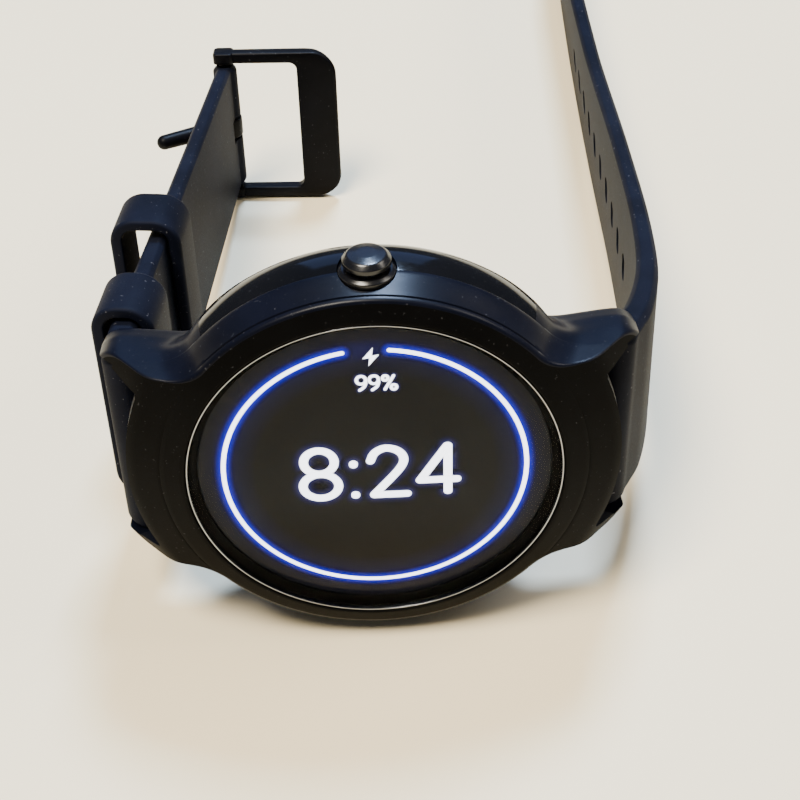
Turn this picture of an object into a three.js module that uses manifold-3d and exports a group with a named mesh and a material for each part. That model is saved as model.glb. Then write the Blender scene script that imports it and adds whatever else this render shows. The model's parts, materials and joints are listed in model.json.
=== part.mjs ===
// A round smartwatch with a two-piece silicone strap, standing on its edge.
//
// Watch frame, in millimetres: X runs from the buckle strap (12 o'clock) to the
// strap with holes (6 o'clock), Y runs from the glass to the wrist side, and Z
// runs from the 9 o'clock wall up to the crown. The watch is drawn in that frame,
// then tilted about X so that its wall, buckle and strap end stand on Z = 0.

import * as THREE from "three";
import { mergeVertices } from "three/addons/utils/BufferGeometryUtils.js";
import Module from "manifold-3d";

const wasm = await Module();
wasm.setup();

// ---------------------------------------------------------------- dimensions

const gap = 0.3; // clearance between neighbouring pieces

const glass = { radius: 17.9, thickness: 1.0, edge: 0.35 };
const display = { radius: 17.0, front: 1.3, thickness: 1.0 };

const shell = {
  barrel: 21.8, // widest radius of the wall at 3 and 9 o'clock
  widestDepth: 6.5,
  plate: 23.9, // radius of the front plate between the lugs
  plateBack: 3.8,
  faceRise: 0.36, // slope of the ring around the glass
  lugFall: 1.2, // slope of the lugs outside the plate
  bore: 17.3,
  back: 10.3,
  lugEnd: 26.3,
  lugHalf: 12.05,
  lugFillet: 4.5,
  lugCorner: 3.0,
  lugRound: 2.2, // the same corners seen from the crown
  slotHalf: 11.05,
  slotWall: 21.3,
  webBack: 5.2, // the webs between the plate and the lugs end at this depth
};

const crown = { depth: 4.4, capRadius: 2.1, collarRadius: 2.65, stemRadius: 0.7, travel: 0.4 };
const backCover = { radius: 18.8, inner: 10.6, rim: 11.2, window: 6.0, outer: 12.9 };
const screw = { ring: 15.6, headRadius: 1.35, shaftRadius: 0.7, angles: [30, 150, 210, 330] };
const contact = { radius: 0.8, pitch: 2.6, offset: -10 };

const barX = 23.8; // spring bar axis, measured from the middle of the watch
const barDepth = 8.0;
const springBar = { radius: 0.75, half: 10.2, pinRadius: 0.42, pinEnd: 11.5 };

const strapWidth = 21.5;
const strapEndWidth = 17.2;
const strapTaper = 62; // run over which the strap narrows
const headRadius = 1.9;
const holes = { count: 10, first: 34, pitch: 5.5, across: 3.4, along: 1.9 };

const buckle = {
  x: -17.05,
  depth: 70.7,
  lean: -3, // degrees from square to the depth, which lifts the far bar towards the glass
  half: 10.5,
  arm: 1.45,
  reach: 14.2, // from the bar's axis to the far edge
  heel: 1.25, // how far the arms run past the bar
  bar: 5.0, // width of the far bar
  thickness: 1.6,
  armEnd: 1.1, // half thickness of the arms where they hold the bar
  corner: 3.2,
  windowCorner: 1.0,
};
const buckleBar = { radius: 0.65, half: 9.9 };
const strapLoop = 1.5; // radius of the strap's end round the buckle bar
const tongueSlot = 2.7; // the strap is cut away this far from the bar to let the tongue turn
const tongue = { length: 9.2, radius: 1.05, tip: 0.95, eye: 1.6, half: 1.3, restAngle: 205.5 };
const strapBend = { x: -24.2, depth: 11 }; // the buckle strap is straight from here on
const keeper = { half: 11.0, side: 1.25, wall: 1.4 };
const nearKeeper = { from: 1.6, to: 8.2, opening: 3.8 }; // runs are measured from the bend
const farKeeper = { from: 17.2, to: 23.2, opening: 5.0 };

// Tilt that puts the 9 o'clock wall and the buckle's lower corner on one floor.
const buckleLow = buckle.depth + buckle.armEnd;
const tilt = Math.atan2(shell.barrel - buckle.half, buckleLow - shell.widestDepth);

// ------------------------------------------------------------------- helpers

const radians = (degrees) => (degrees * Math.PI) / 180;

function material(color, roughness, metalness) {
  return new THREE.MeshStandardMaterial({ color, roughness, metalness });
}

const looks = {
  shell: material(0x0b0d14, 0.32, 0.1),
  matte: material(0x090a0d, 0.6, 0.0),
  glass: material(0x030406, 0.05, 0.0),
  screen: material(0x050608, 0.2, 0.0),
  silicone: material(0x0c0d10, 0.62, 0.0),
  rubber: material(0x141414, 0.8, 0.0),
  steel: material(0xb9bcc2, 0.3, 0.9),
  darkSteel: material(0x17181c, 0.3, 0.8),
  gold: material(0xd2a650, 0.3, 0.9),
  board: material(0x12382a, 0.5, 0.1),
  cell: material(0x2b2d33, 0.45, 0.2),
  flex: material(0xa06a1c, 0.5, 0.1),
  chassis: material(0x23252a, 0.55, 0.0),
  magnet: material(0x7d8087, 0.35, 0.9),
};

// Closed three.js geometry to a manifold solid, with zero-area triangles dropped.
function solid(geometry) {
  const bare = geometry.clone();
  bare.deleteAttribute("normal");
  bare.deleteAttribute("uv");
  const merged = mergeVertices(bare, 1e-4);
  const index = merged.index.array;
  const kept = [];
  for (let i = 0; i < index.length; i += 3) {
    const [a, b, c] = [index[i], index[i + 1], index[i + 2]];
    if (a !== b && b !== c && c !== a) kept.push(a, b, c);
  }
  const vertProperties = new Float32Array(merged.attributes.position.array);
  if (signedVolume(vertProperties, kept) < 0) kept.reverse();
  const triVerts = new Uint32Array(kept);
  return new wasm.Manifold(new wasm.Mesh({ numProp: 3, vertProperties, triVerts }));
}

function signedVolume(points, index) {
  let volume = 0;
  const corner = (i) => new THREE.Vector3().fromArray(points, 3 * index[i]);
  for (let i = 0; i < index.length; i += 3) {
    volume += corner(i).dot(corner(i + 1).cross(corner(i + 2)));
  }
  return volume / 6;
}

function geometryOf(body) {
  const mesh = body.getMesh();
  const geometry = new THREE.BufferGeometry();
  geometry.setAttribute("position", new THREE.BufferAttribute(mesh.vertProperties, 3));
  geometry.setIndex(new THREE.BufferAttribute(mesh.triVerts, 1));
  geometry.computeVertexNormals();
  return geometry;
}

// Revolves [radius, depth] pairs about the watch's axis.
function lathe(profile, segments = 40) {
  const points = profile.map(([radius, depth]) => new THREE.Vector2(radius, depth));
  return solid(new THREE.LatheGeometry(points, segments));
}

// Ring of rectangular section about the watch's axis.
function ring(inner, outer, y0, y1, segments = 32) {
  const profile = [[inner, y0], [outer, y0], [outer, y1], [inner, y1], [inner, y0]];
  return lathe(profile, segments);
}

function discY(radius, y0, y1, x = 0, z = 0, segments = 24) {
  const geometry = new THREE.CylinderGeometry(radius, radius, y1 - y0, segments);
  return solid(geometry.translate(x, (y0 + y1) / 2, z));
}

function rodZ(radius, z0, z1, x, y, segments = 16) {
  const geometry = new THREE.CylinderGeometry(radius, radius, z1 - z0, segments);
  return solid(geometry.rotateX(Math.PI / 2).translate(x, y, (z0 + z1) / 2));
}

// Revolves [radius, z] pairs about a Z axis through (x, y).
function turnZ(profile, x, y, segments = 20) {
  const points = profile.map(([radius, z]) => new THREE.Vector2(radius, z));
  const geometry = new THREE.LatheGeometry(points, segments);
  return solid(geometry.rotateX(Math.PI / 2).translate(x, y, 0));
}

function box(x0, x1, y0, y1, z0, z1) {
  const geometry = new THREE.BoxGeometry(x1 - x0, y1 - y0, z1 - z0);
  return solid(geometry.translate((x0 + x1) / 2, (y0 + y1) / 2, (z0 + z1) / 2));
}

function roundedRect(halfWidth, halfHeight, radius) {
  const shape = new THREE.Shape();
  const [w, h, r] = [halfWidth, halfHeight, radius];
  shape.moveTo(-w + r, -h);
  shape.lineTo(w - r, -h);
  shape.absarc(w - r, -h + r, r, -Math.PI / 2, 0);
  shape.lineTo(w, h - r);
  shape.absarc(w - r, h - r, r, 0, Math.PI / 2);
  shape.lineTo(-w + r, h);
  shape.absarc(-w + r, h - r, r, Math.PI / 2, Math.PI);
  shape.lineTo(-w, -h + r);
  shape.absarc(-w + r, -h + r, r, Math.PI, 1.5 * Math.PI);
  return shape;
}

// Shape drawn in (x, z), extruded along the depth from y0 to y1.
function extrudeY(shape, y0, y1, curveSegments = 6) {
  const settings = { depth: y1 - y0, bevelEnabled: false, curveSegments };
  return solid(new THREE.ExtrudeGeometry(shape, settings).rotateX(Math.PI / 2).translate(0, y1, 0));
}

// Shape drawn in (x, y), extruded along Z from z0 to z1.
function extrudeZ(shape, z0, z1, curveSegments = 6) {
  const settings = { depth: z1 - z0, bevelEnabled: false, curveSegments };
  return solid(new THREE.ExtrudeGeometry(shape, settings).translate(0, 0, z0));
}

// Skins a row of closed sections, each with the same number of corners.
function loft(sections) {
  const count = sections[0].length;
  const points = sections.flat();
  const faces = [];
  for (let s = 0; s < sections.length - 1; s += 1) {
    for (let i = 0; i < count; i += 1) {
      const a = s * count + i;
      const b = s * count + ((i + 1) % count);
      faces.push(a, b, b + count, a, b + count, a + count);
    }
  }
  const last = (sections.length - 1) * count;
  const cap = THREE.ShapeUtils.triangulateShape(flatten(sections[0]), []);
  for (const [a, b, c] of cap) faces.push(a, c, b);
  const capEnd = THREE.ShapeUtils.triangulateShape(flatten(sections[sections.length - 1]), []);
  for (const [a, b, c] of capEnd) faces.push(last + a, last + b, last + c);
  const geometry = new THREE.BufferGeometry().setFromPoints(points);
  geometry.setIndex(faces);
  return solid(geometry);
}

// A flat section's corners in a plane of their own, turned anticlockwise.
function flatten(section) {
  const origin = section[0];
  const normal = new THREE.Vector3();
  for (let i = 0; i < section.length; i += 1) {
    normal.add(section[i].clone().cross(section[(i + 1) % section.length]));
  }
  normal.normalize();
  const across = section[1].clone().sub(origin).normalize();
  const up = normal.clone().cross(across);
  return section.map((point) => {
    const arm = point.clone().sub(origin);
    return new THREE.Vector2(arm.dot(across), arm.dot(up));
  });
}

// ------------------------------------------------------------- scene groups

const watch = new THREE.Group(); // the watch frame
watch.rotation.x = -tilt;
const group = new THREE.Group();
group.add(watch);

function piece(name, body, look) {
  const mesh = new THREE.Mesh(geometryOf(body), look);
  mesh.name = name;
  watch.add(mesh);
  return mesh;
}

// ----------------------------------------------------------------- case body

// Half widths of the case seen from the front, at one depth: round at 3 and
// 9 o'clock, then a concave sweep into the lugs at 12 and 6 o'clock.
function caseOutline(depth, barrel, lugHalf) {
  const { lugFillet: fillet, lugCorner: corner, lugEnd } = shell;
  const filletX = Math.sqrt((barrel + fillet) ** 2 - (lugHalf + fillet) ** 2);
  const sweepStart = Math.atan2(lugHalf + fillet, filletX);
  const quarter = [];
  const [arcSteps, filletSteps, cornerSteps] = [6, 3, 3];
  for (let i = 0; i <= arcSteps; i += 1) {
    const angle = Math.PI / 2 + ((sweepStart - Math.PI / 2) * i) / arcSteps;
    quarter.push([barrel * Math.cos(angle), barrel * Math.sin(angle)]);
  }
  for (let i = 1; i <= filletSteps; i += 1) {
    const angle = Math.PI + sweepStart + ((Math.PI / 2 - sweepStart) * i) / filletSteps;
    quarter.push([
      filletX + fillet * Math.cos(angle),
      lugHalf + fillet + fillet * Math.sin(angle),
    ]);
  }
  for (let i = 0; i <= cornerSteps; i += 1) {
    const angle = (Math.PI / 2) * (1 - i / cornerSteps);
    quarter.push([
      lugEnd - corner + corner * Math.cos(angle),
      lugHalf - corner + corner * Math.sin(angle),
    ]);
  }
  const lower = quarter.map(([x, z]) => [x, -z]).reverse();
  const right = [...quarter, ...lower].slice(0, -1);
  const left = right.map(([x, z]) => [-x, -z]);
  return [...right, ...left].map(([x, z]) => new THREE.Vector3(x, depth, z));
}

function caseEnvelope() {
  const levels = [
    [-0.5, 20.1, shell.lugHalf - 0.3],
    [1.1, 20.5, shell.lugHalf - 0.2],
    [4, 21.4, shell.lugHalf],
    [shell.widestDepth, shell.barrel, shell.lugHalf],
    [8.5, 21.3, shell.lugHalf - 0.1],
    [10, 20.1, shell.lugHalf - 0.4],
    [11.2, 18.9, shell.lugHalf - 0.7],
  ];
  const outline = loft(levels.map(([depth, barrel, half]) => caseOutline(depth, barrel, half)));
  const plateFront = (shell.plate - glass.radius - 0.5) * shell.faceRise;
  const discs = lathe([
    [0, 0],
    [glass.radius + 0.5, 0],
    [shell.plate, plateFront],
    [30, plateFront + (30 - shell.plate) * shell.lugFall],
    [30, shell.back],
    [0, shell.back],
  ], 48);
  const side = extrudeZ(lugSideShape(), -30, 30);
  return outline.intersect(discs).intersect(side);
}

// The case seen from the crown: the lug ends are rounded on both sides.
function lugSideShape() {
  const shape = new THREE.Shape();
  const { lugEnd: end, back, lugRound: round } = shell;
  shape.moveTo(-end, -1);
  shape.lineTo(end, -1);
  shape.lineTo(end, back - round);
  shape.absarc(end - round, back - round, round, 0, Math.PI / 2);
  shape.lineTo(-end + round, back);
  shape.absarc(-end + round, back - round, round, Math.PI / 2, Math.PI);
  shape.closePath();
  return shape;
}

function caseBody() {
  let body = caseEnvelope();
  body = body.subtract(lathe([
    [0, -1],
    [glass.radius + gap, -1],
    [glass.radius + gap, 2.0],
    [shell.bore, 2.0],
    [shell.bore, 12],
    [0, 12],
  ], 48));
  const plateDisc = discY(shell.plate, -3, shell.plateBack, 0, 0, 48);
  for (const side of [-1, 1]) {
    const [inside, outside] = [side * shell.slotWall, side * 34].sort((a, b) => a - b);
    const { slotHalf, webBack } = shell;
    body = body.subtract(extrudeY(slotShape(side), -2, webBack + 0.01).subtract(plateDisc));
    body = body.subtract(box(inside, outside, webBack, 14, -slotHalf, slotHalf));
    for (const end of [-1, 1]) {
      const [z0, z1] = [end * 10.9, end * (springBar.pinEnd + 0.15)].sort((a, b) => a - b);
      body = body.subtract(rodZ(0.6, z0, z1, side * barX, barDepth, 12));
    }
  }
  for (const angle of screw.angles) {
    const [x, z] = onRing(screw.ring, angle);
    body = body.add(discY(2.2, 6, shell.back, x, z, 16).intersect(discY(18, 5, 11)));
    body = body.subtract(discY(screw.shaftRadius + gap, 7.2, 11, x, z, 12));
  }
  body = body.subtract(rodZ(1.9, 15, 30, 0, crown.depth, 20));
  body = body.subtract(rodZ(crown.collarRadius + gap, 20.4, 30, 0, crown.depth, 24));
  return body;
}

// The strap's slot seen from the front: a web narrows it next to the plate.
function slotShape(side) {
  const { slotWall, slotHalf } = shell;
  const corners = [[slotWall, 9.5], [22, 9.8], [25, slotHalf], [34, slotHalf]];
  const shape = new THREE.Shape();
  shape.moveTo(side * slotWall, -corners[0][1]);
  for (const [x, half] of corners.slice(1)) shape.lineTo(side * x, -half);
  for (const [x, half] of [...corners].reverse()) shape.lineTo(side * x, half);
  shape.closePath();
  return shape;
}

function onRing(radius, angle) {
  return [radius * Math.cos(radians(angle)), radius * Math.sin(radians(angle))];
}

piece("case_body", caseBody(), looks.shell);

// ------------------------------------------------------------ glass, display

const { radius: glassRadius, edge: glassEdge, thickness: glassThickness } = glass;
piece("cover_glass", lathe([
  [0, 0],
  [glassRadius - 2 * glassEdge, 0],
  [glassRadius, glassEdge],
  [glassRadius, glassThickness],
  [0, glassThickness],
], 48), looks.glass);

const displayBack = display.front + display.thickness;
piece("display_panel", lathe([
  [0, display.front],
  [display.radius, display.front],
  [display.radius, displayBack],
  [0, displayBack],
]), looks.screen);

piece("display_gasket", ring(17.35, 17.9, 1.3, 1.7), looks.rubber);

const frameDepth = { front: 2.9, back: 3.9 };
const switchSlot = box(-2.7, 2.7, 0, 9, 13.3, 20);
const flexSlot = box(-3.8, 3.8, 0, 9, -20, -13.4);

function midFrame() {
  let body = discY(16.8, frameDepth.front, frameDepth.back, 0, 0, 40);
  body = body.subtract(switchSlot).subtract(flexSlot);
  for (const side of [-1, 1]) body = body.subtract(discY(2, 2, 5, side * 9, 0, 16));
  return body;
}
piece("mid_frame", midFrame(), looks.chassis);

function displayFlex() {
  const profile = new THREE.Shape();
  const [near, far, top, end] = [-9, -14.9, 2.5, 4.0];
  const thick = 0.15;
  profile.moveTo(near, top);
  profile.lineTo(near, top + thick);
  profile.lineTo(far + thick, top + thick);
  profile.lineTo(far + thick, end - thick);
  profile.lineTo(-13.8, end - thick);
  profile.lineTo(-13.8, end);
  profile.lineTo(far, end);
  profile.lineTo(far, top);
  const settings = { depth: 6, bevelEnabled: false };
  const geometry = new THREE.ExtrudeGeometry(profile, settings);
  // Profile (z, y) with the ribbon's width along X.
  return solid(geometry.rotateY(-Math.PI / 2).translate(3, 0, 0));
}
piece("display_flex", displayFlex(), looks.flex);

// --------------------------------------------------- board, battery, modules

const board = { front: 4.2, back: 5.0 };
piece(
  "main_board",
  discY(16.6, board.front, board.back, 0, 0, 40).subtract(switchSlot),
  looks.board,
);

function shieldCan(x0, x1, z0, z1) {
  const [front, back, wall] = [board.back + gap, 6.9, 0.3];
  const can = box(x0, x1, front, back, z0, z1);
  return can.subtract(box(x0 + wall, x1 - wall, front - 1, back - wall, z0 + wall, z1 - wall));
}
piece("shield_can_processor", shieldCan(-9.8, -0.6, 7.8, 13.0), looks.steel);
piece("shield_can_radio", shieldCan(0.6, 8.6, 7.8, 13.0), looks.steel);

const battery = roundedRect(10.9, 9.2, 1.4);
piece(
  "battery",
  extrudeY(battery, 5.5, 9.6, 4).translate([0, 0, -2.9]),
  looks.cell,
);
piece("vibration_motor", box(12.0, 14.8, 5.4, 8.6, -4.5, 4.5), looks.steel);
piece("microphone", box(-14.8, -12.0, 5.4, 6.5, -2.2, 0.8), looks.steel);

function antennaArc() {
  const shape = new THREE.Shape();
  const [inner, outer] = [16.75, 17.0];
  const [from, to] = [radians(222), radians(318)];
  shape.absarc(0, 0, outer, from, to, false);
  shape.absarc(0, 0, inner, to, from, true);
  shape.closePath();
  return extrudeY(shape, 5.6, 9.4, 20);
}
piece("antenna", antennaArc(), looks.flex);

// ---------------------------------------------------------------- case back

function caseBack() {
  const { radius, inner, rim, window } = backCover;
  let body = lathe([
    [window + gap, 10.2],
    [window + 1.2, 10.2],
    [window + 1.2, 11.1],
    [13.2, 11.1],
    [13.2, inner],
    [16.9, inner],
    [16.9, rim],
    [radius, rim],
    [radius, rim + 0.25],
    [radius - 1.4, rim + 0.7],
    [12, 12.3],
    [window + 1.0, 12.4],
    [window + gap, 12.2],
    [window + gap, 10.2],
  ], 36);
  for (const angle of screw.angles) {
    const [x, z] = onRing(screw.ring, angle);
    body = body.subtract(discY(screw.shaftRadius + gap, 9, 14, x, z, 12));
    body = body.subtract(discY(screw.headRadius + gap, 11.25, 14, x, z, 16));
  }
  for (let i = 0; i < 4; i += 1) {
    body = body.subtract(discY(contact.radius + 0.2, 9, 14, contactX(i), contact.offset, 12));
  }
  return body;
}

const contactX = (i) => (i - 1.5) * contact.pitch;

piece("case_back", caseBack(), looks.matte);
piece("back_gasket", ring(17.4, 18.1, 10.6, 10.9), looks.rubber);
piece("sensor_board", discY(5.8, 10.3, 11.1, 0, 0, 32), looks.board);
piece("sensor_window", lathe([
  [0, 11.4],
  [backCover.window, 11.4],
  [backCover.window, 12.5],
  [4.4, 12.8],
  [2.2, backCover.outer],
  [0, backCover.outer],
], 40), looks.glass);

for (let i = 0; i < 4; i += 1) {
  const pad = discY(contact.radius, 10.7, 12.4, contactX(i), contact.offset, 12);
  piece(`charging_contact_${i + 1}`, pad, looks.gold);
}
for (const [i, side] of [-1, 1].entries()) {
  const puck = discY(1.5, 9.9, 10.8, side * 7.0, contact.offset + 1, 16);
  piece(`dock_magnet_${i + 1}`, puck, looks.magnet);
}
screw.angles.forEach((angle, i) => {
  const [x, z] = onRing(screw.ring, angle);
  const head = discY(screw.headRadius, 11.55, 12.0, x, z, 16);
  const shaft = discY(screw.shaftRadius, 7.6, 11.6, x, z, 12);
  piece(`case_back_screw_${i + 1}`, head.add(shaft), looks.steel);
});

// --------------------------------------------------------------- push crown

const crownAxis = [0, crown.depth];
const { stemRadius } = crown;
piece("crown_collar", turnZ([
  [1.5, 17.5],
  [1.6, 17.5],
  [1.6, 20.7],
  [crown.collarRadius, 20.7],
  [crown.collarRadius, 21.2],
  [crown.collarRadius - 0.3, 21.45],
  [1.4, 21.45],
  [1.4, 19.3],
  [0.9, 19.3],
  [0.9, 18.7],
  [1.5, 18.7],
  [1.5, 17.5],
], ...crownAxis, 24), looks.darkSteel);

piece("crown_cap", turnZ([
  [0, 22.35],
  [1.0, 22.35],
  [1.0, 21.95],
  [crown.capRadius, 21.95],
  [crown.capRadius, 22.5],
  [1.7, 22.85],
  [0.9, 23.05],
  [0, 23.1],
], ...crownAxis, 24), looks.shell);

piece("crown_stem", turnZ([
  [0, 16.8],
  [stemRadius, 16.8],
  [stemRadius, 16.95],
  [0.45, 16.95],
  [0.45, 17.25],
  [stemRadius, 17.25],
  [stemRadius, 22.2],
  [0, 22.2],
], ...crownAxis, 16), looks.steel);

function tubeZ(inner, outer, z0, z1, x, y, segments) {
  const profile = [[inner, z0], [outer, z0], [outer, z1], [inner, z1], [inner, z0]];
  return turnZ(profile, x, y, segments);
}
piece("crown_o_ring", tubeZ(0.9, 1.35, 17.85, 18.35, ...crownAxis, 16), looks.rubber);
piece("crown_spring", tubeZ(0.85, 1.2, 19.5, 21.75, ...crownAxis, 16), looks.steel);

function crownClip() {
  const washer = tubeZ(0.55, 1.2, 17.0, 17.2, ...crownAxis, 20);
  return washer.subtract(box(-0.35, 0.35, crown.depth, crown.depth + 3, 16, 18));
}
piece("crown_clip", crownClip(), looks.steel);

const plungerZ = 15.9;
const switchFace = plungerZ - crown.travel - 0.1;
piece("side_switch", box(-2.3, 2.3, 3.3, 5.5, 13.6, switchFace), looks.chassis);
piece("switch_plunger", rodZ(0.5, plungerZ, plungerZ + 0.6, ...crownAxis, 14), looks.steel);

// -------------------------------------------------------------- spring bars

for (const [label, side] of [["12", -1], ["6", 1]]) {
  const [x, y] = [side * barX, barDepth];
  const { radius, half, pinRadius, pinEnd } = springBar;
  let tube = tubeZ(0.52, radius, -half, half, x, y, 16);
  const leverSlot = box(-0.35, 0.35, 0, 2, 6.2, 8.6).translate([x, y, 0]);
  tube = tube.subtract(leverSlot);
  piece(`spring_bar_tube_${label}`, tube, looks.steel);
  piece(`spring_bar_fixed_pin_${label}`, rodZ(pinRadius, -pinEnd, -half + 2, x, y), looks.steel);
  const pin = rodZ(pinRadius, half - 4, pinEnd, x, y);
  const lever = box(-0.22, 0.22, 0, 2.7, 7.4, 8.0).translate([x, y, 0]);
  piece(`quick_release_pin_${label}`, pin.add(lever), looks.steel);
  piece(`spring_bar_spring_${label}`, rodZ(0.36, -half + 2.3, half - 4.3, x, y, 10), looks.steel);
}

// ------------------------------------------------------------------- straps

// Chamfered strap section at a point of the centre line.
function strapSection(point, tangent, thickness, halfWidth) {
  const normal = new THREE.Vector3(tangent.y, -tangent.x, 0).normalize();
  const t = thickness / 2;
  const bevel = 0.28 * thickness;
  const corners = [
    [t, halfWidth - bevel],
    [t - bevel, halfWidth],
    [-t + bevel, halfWidth],
    [-t, halfWidth - bevel],
    [-t, -halfWidth + bevel],
    [-t + bevel, -halfWidth],
    [t - bevel, -halfWidth],
    [t, -halfWidth + bevel],
  ];
  return corners.map(([out, z]) => {
    const corner = point.clone().addScaledVector(normal, out);
    corner.z += z;
    return corner;
  });
}

function strapThickness(run) {
  return 1.9 + 1.6 * Math.exp(-run / 9);
}

function strapHalfWidth(run) {
  const share = THREE.MathUtils.clamp(run / strapTaper, 0, 1);
  return THREE.MathUtils.lerp(strapWidth, strapEndWidth, share) / 2;
}

function strapRibbon(curve, steps, roundEnd, twist) {
  const length = curve.getLength();
  const sections = [];
  for (let i = 0; i <= steps; i += 1) {
    const share = i / steps;
    const eased = roundEnd > 0 ? 1 - (1 - share) ** 1.25 : share;
    const run = eased * length;
    const toEnd = length - run;
    let half = strapHalfWidth(run);
    if (toEnd < roundEnd) half *= Math.sqrt(1 - (0.93 * (1 - toEnd / roundEnd)) ** 2);
    const point = curve.getPointAt(eased);
    const section = strapSection(point, curve.getTangentAt(eased), strapThickness(run), half);
    for (const corner of section) corner.x -= (corner.z - point.z) * twist * run;
    sections.push(section);
  }
  return loft(sections);
}

// Round strap head on its spring bar, with the bar's bore and the lever's pocket.
function strapHead(side) {
  const half = strapWidth / 2;
  return rodZ(headRadius, -half, half, side * barX, barDepth, 24);
}

function boreStrap(strap, side) {
  const bored = strap.subtract(rodZ(springBar.radius + gap, -14, 14, side * barX, barDepth, 16));
  return bored.subtract(box(-0.8, 0.8, 0, 4, 5.6, 10.2).translate([side * barX, barDepth, 0]));
}

const strapEnd = { x: 31.1, depth: 118 };
const strapTwist = 0.0014; // lean of the strap's section for each millimetre of depth

// The long strap's lower edge meets the tilted floor, which lifts its far end.
function liftAt(depth) {
  const floor = -shell.barrel + (depth - shell.widestDepth) * Math.tan(tilt);
  const sunk = floor + strapEndWidth / 2;
  return 0.5 * (sunk + Math.hypot(sunk, 1.4));
}

function holeStrap() {
  const route = [
    [barX + 0.4, barDepth + 0.6],
    [26.4, 12],
    [28.35, 18],
    [29.5, 27],
    [30.2, 45],
    [30.5, 70],
    [30.8, 94],
    [strapEnd.x, strapEnd.depth],
  ];
  const points = route.map(([x, y]) => new THREE.Vector3(x, y, liftAt(y)));
  const curve = new THREE.CatmullRomCurve3(points, false, "centripetal");
  let strap = strapRibbon(curve, 28, 11, strapTwist).add(strapHead(1));
  strap = boreStrap(strap, 1);
  for (let i = 0; i < holes.count; i += 1) {
    const depth = holes.first + i * holes.pitch;
    const slot = roundedRect(holes.across / 2, holes.along / 2, holes.along / 2 - 0.01);
    const settings = { depth: 8, bevelEnabled: false, curveSegments: 3 };
    const cutter = new THREE.ExtrudeGeometry(slot, settings);
    cutter.rotateY(Math.PI / 2).translate(26, depth, liftAt(depth));
    strap = strap.subtract(solid(cutter));
  }
  return strap;
}
piece("strap_hole_side", holeStrap(), looks.silicone);

const strapStart = new THREE.Vector3(-barX, barDepth, 0);
const strapTurn = new THREE.Vector3(strapBend.x, strapBend.depth, 0);
const strapStop = new THREE.Vector3(buckle.x, buckle.depth, 0);
const strapWay = strapStop.clone().sub(strapTurn).normalize();

function buckleStrap() {
  const afterTurn = strapTurn.clone().addScaledVector(strapWay, 3);
  const curve = new THREE.CurvePath();
  curve.add(new THREE.QuadraticBezierCurve3(strapStart, strapTurn, afterTurn));
  curve.add(new THREE.LineCurve3(afterTurn, strapStop));
  let strap = strapRibbon(curve, 20, 0, 0).add(strapHead(-1));
  const endHalf = strapEndWidth / 2;
  strap = strap.add(rodZ(strapLoop, -endHalf, endHalf, buckle.x, buckle.depth, 24));
  strap = boreStrap(strap, -1);
  strap = strap.subtract(rodZ(buckleBar.radius + gap, -14, 14, buckle.x, buckle.depth, 16));
  const slotHalf = tongue.half + gap;
  return strap.subtract(rodZ(tongueSlot, -slotHalf, slotHalf, buckle.x, buckle.depth, 24));
}
piece("strap_buckle_side", buckleStrap(), looks.silicone);

// ------------------------------------------------------------------- buckle

function buckleFrame() {
  const { x, depth, half, arm, reach, bar, thickness, corner, windowCorner } = buckle;
  const window = reach - bar;
  const [outerX, innerX] = [reach - corner, window - windowCorner];
  const [outerZ, innerZ] = [half - corner, half - arm - windowCorner];
  const outline = new THREE.Shape();
  outline.moveTo(0, -half);
  outline.lineTo(outerX, -half);
  outline.absarc(outerX, -outerZ, corner, -Math.PI / 2, 0);
  outline.lineTo(reach, outerZ);
  outline.absarc(outerX, outerZ, corner, 0, Math.PI / 2);
  outline.lineTo(0, half);
  outline.lineTo(0, half - arm);
  outline.lineTo(innerX, half - arm);
  outline.absarc(innerX, innerZ, windowCorner, Math.PI / 2, 0, true);
  outline.lineTo(window, -innerZ);
  outline.absarc(innerX, -innerZ, windowCorner, 0, -Math.PI / 2, true);
  outline.lineTo(0, arm - half);
  outline.closePath();
  let frame = extrudeY(outline, -thickness / 2, thickness / 2, 6);
  for (const end of [-1, 1]) {
    const [z0, z1] = [end * (half - arm), end * half].sort((p, q) => p - q);
    frame = frame.add(extrudeZ(roundedRect(buckle.heel, buckle.armEnd, 0.4), z0, z1));
  }
  for (const end of [-1, 1]) {
    const [z0, z1] = [end * 8, end * (buckleBar.half + 0.2)].sort((p, q) => p - q);
    frame = frame.subtract(rodZ(buckleBar.radius + 0.2, z0, z1, 0, 0, 14));
  }
  return frame.rotate([0, 0, buckle.lean]).translate([x, depth, 0]);
}
piece("buckle_frame", buckleFrame(), looks.darkSteel);
piece(
  "buckle_bar",
  rodZ(buckleBar.radius, -buckleBar.half, buckleBar.half, buckle.x, buckle.depth, 14),
  looks.steel,
);

function buckleTongue() {
  const { length, radius, tip, eye, half, restAngle } = tongue;
  const root = eye - 0.4;
  const prong = new THREE.CylinderGeometry(tip, radius, length - root, 12);
  prong.rotateZ(-Math.PI / 2).translate((root + length) / 2, 0, 0);
  const end = new THREE.SphereGeometry(tip, 12, 8).translate(length, 0, 0);
  const whole = rodZ(eye, -half, half, 0, 0, 20).add(solid(prong)).add(solid(end));
  const bored = whole.subtract(rodZ(buckleBar.radius + gap, -3, 3, 0, 0, 14));
  return bored.rotate([0, 0, restAngle]).translate([buckle.x, buckle.depth, 0]);
}
piece("buckle_tongue", buckleTongue(), looks.darkSteel);

// ------------------------------------------------------------------ keepers

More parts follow.
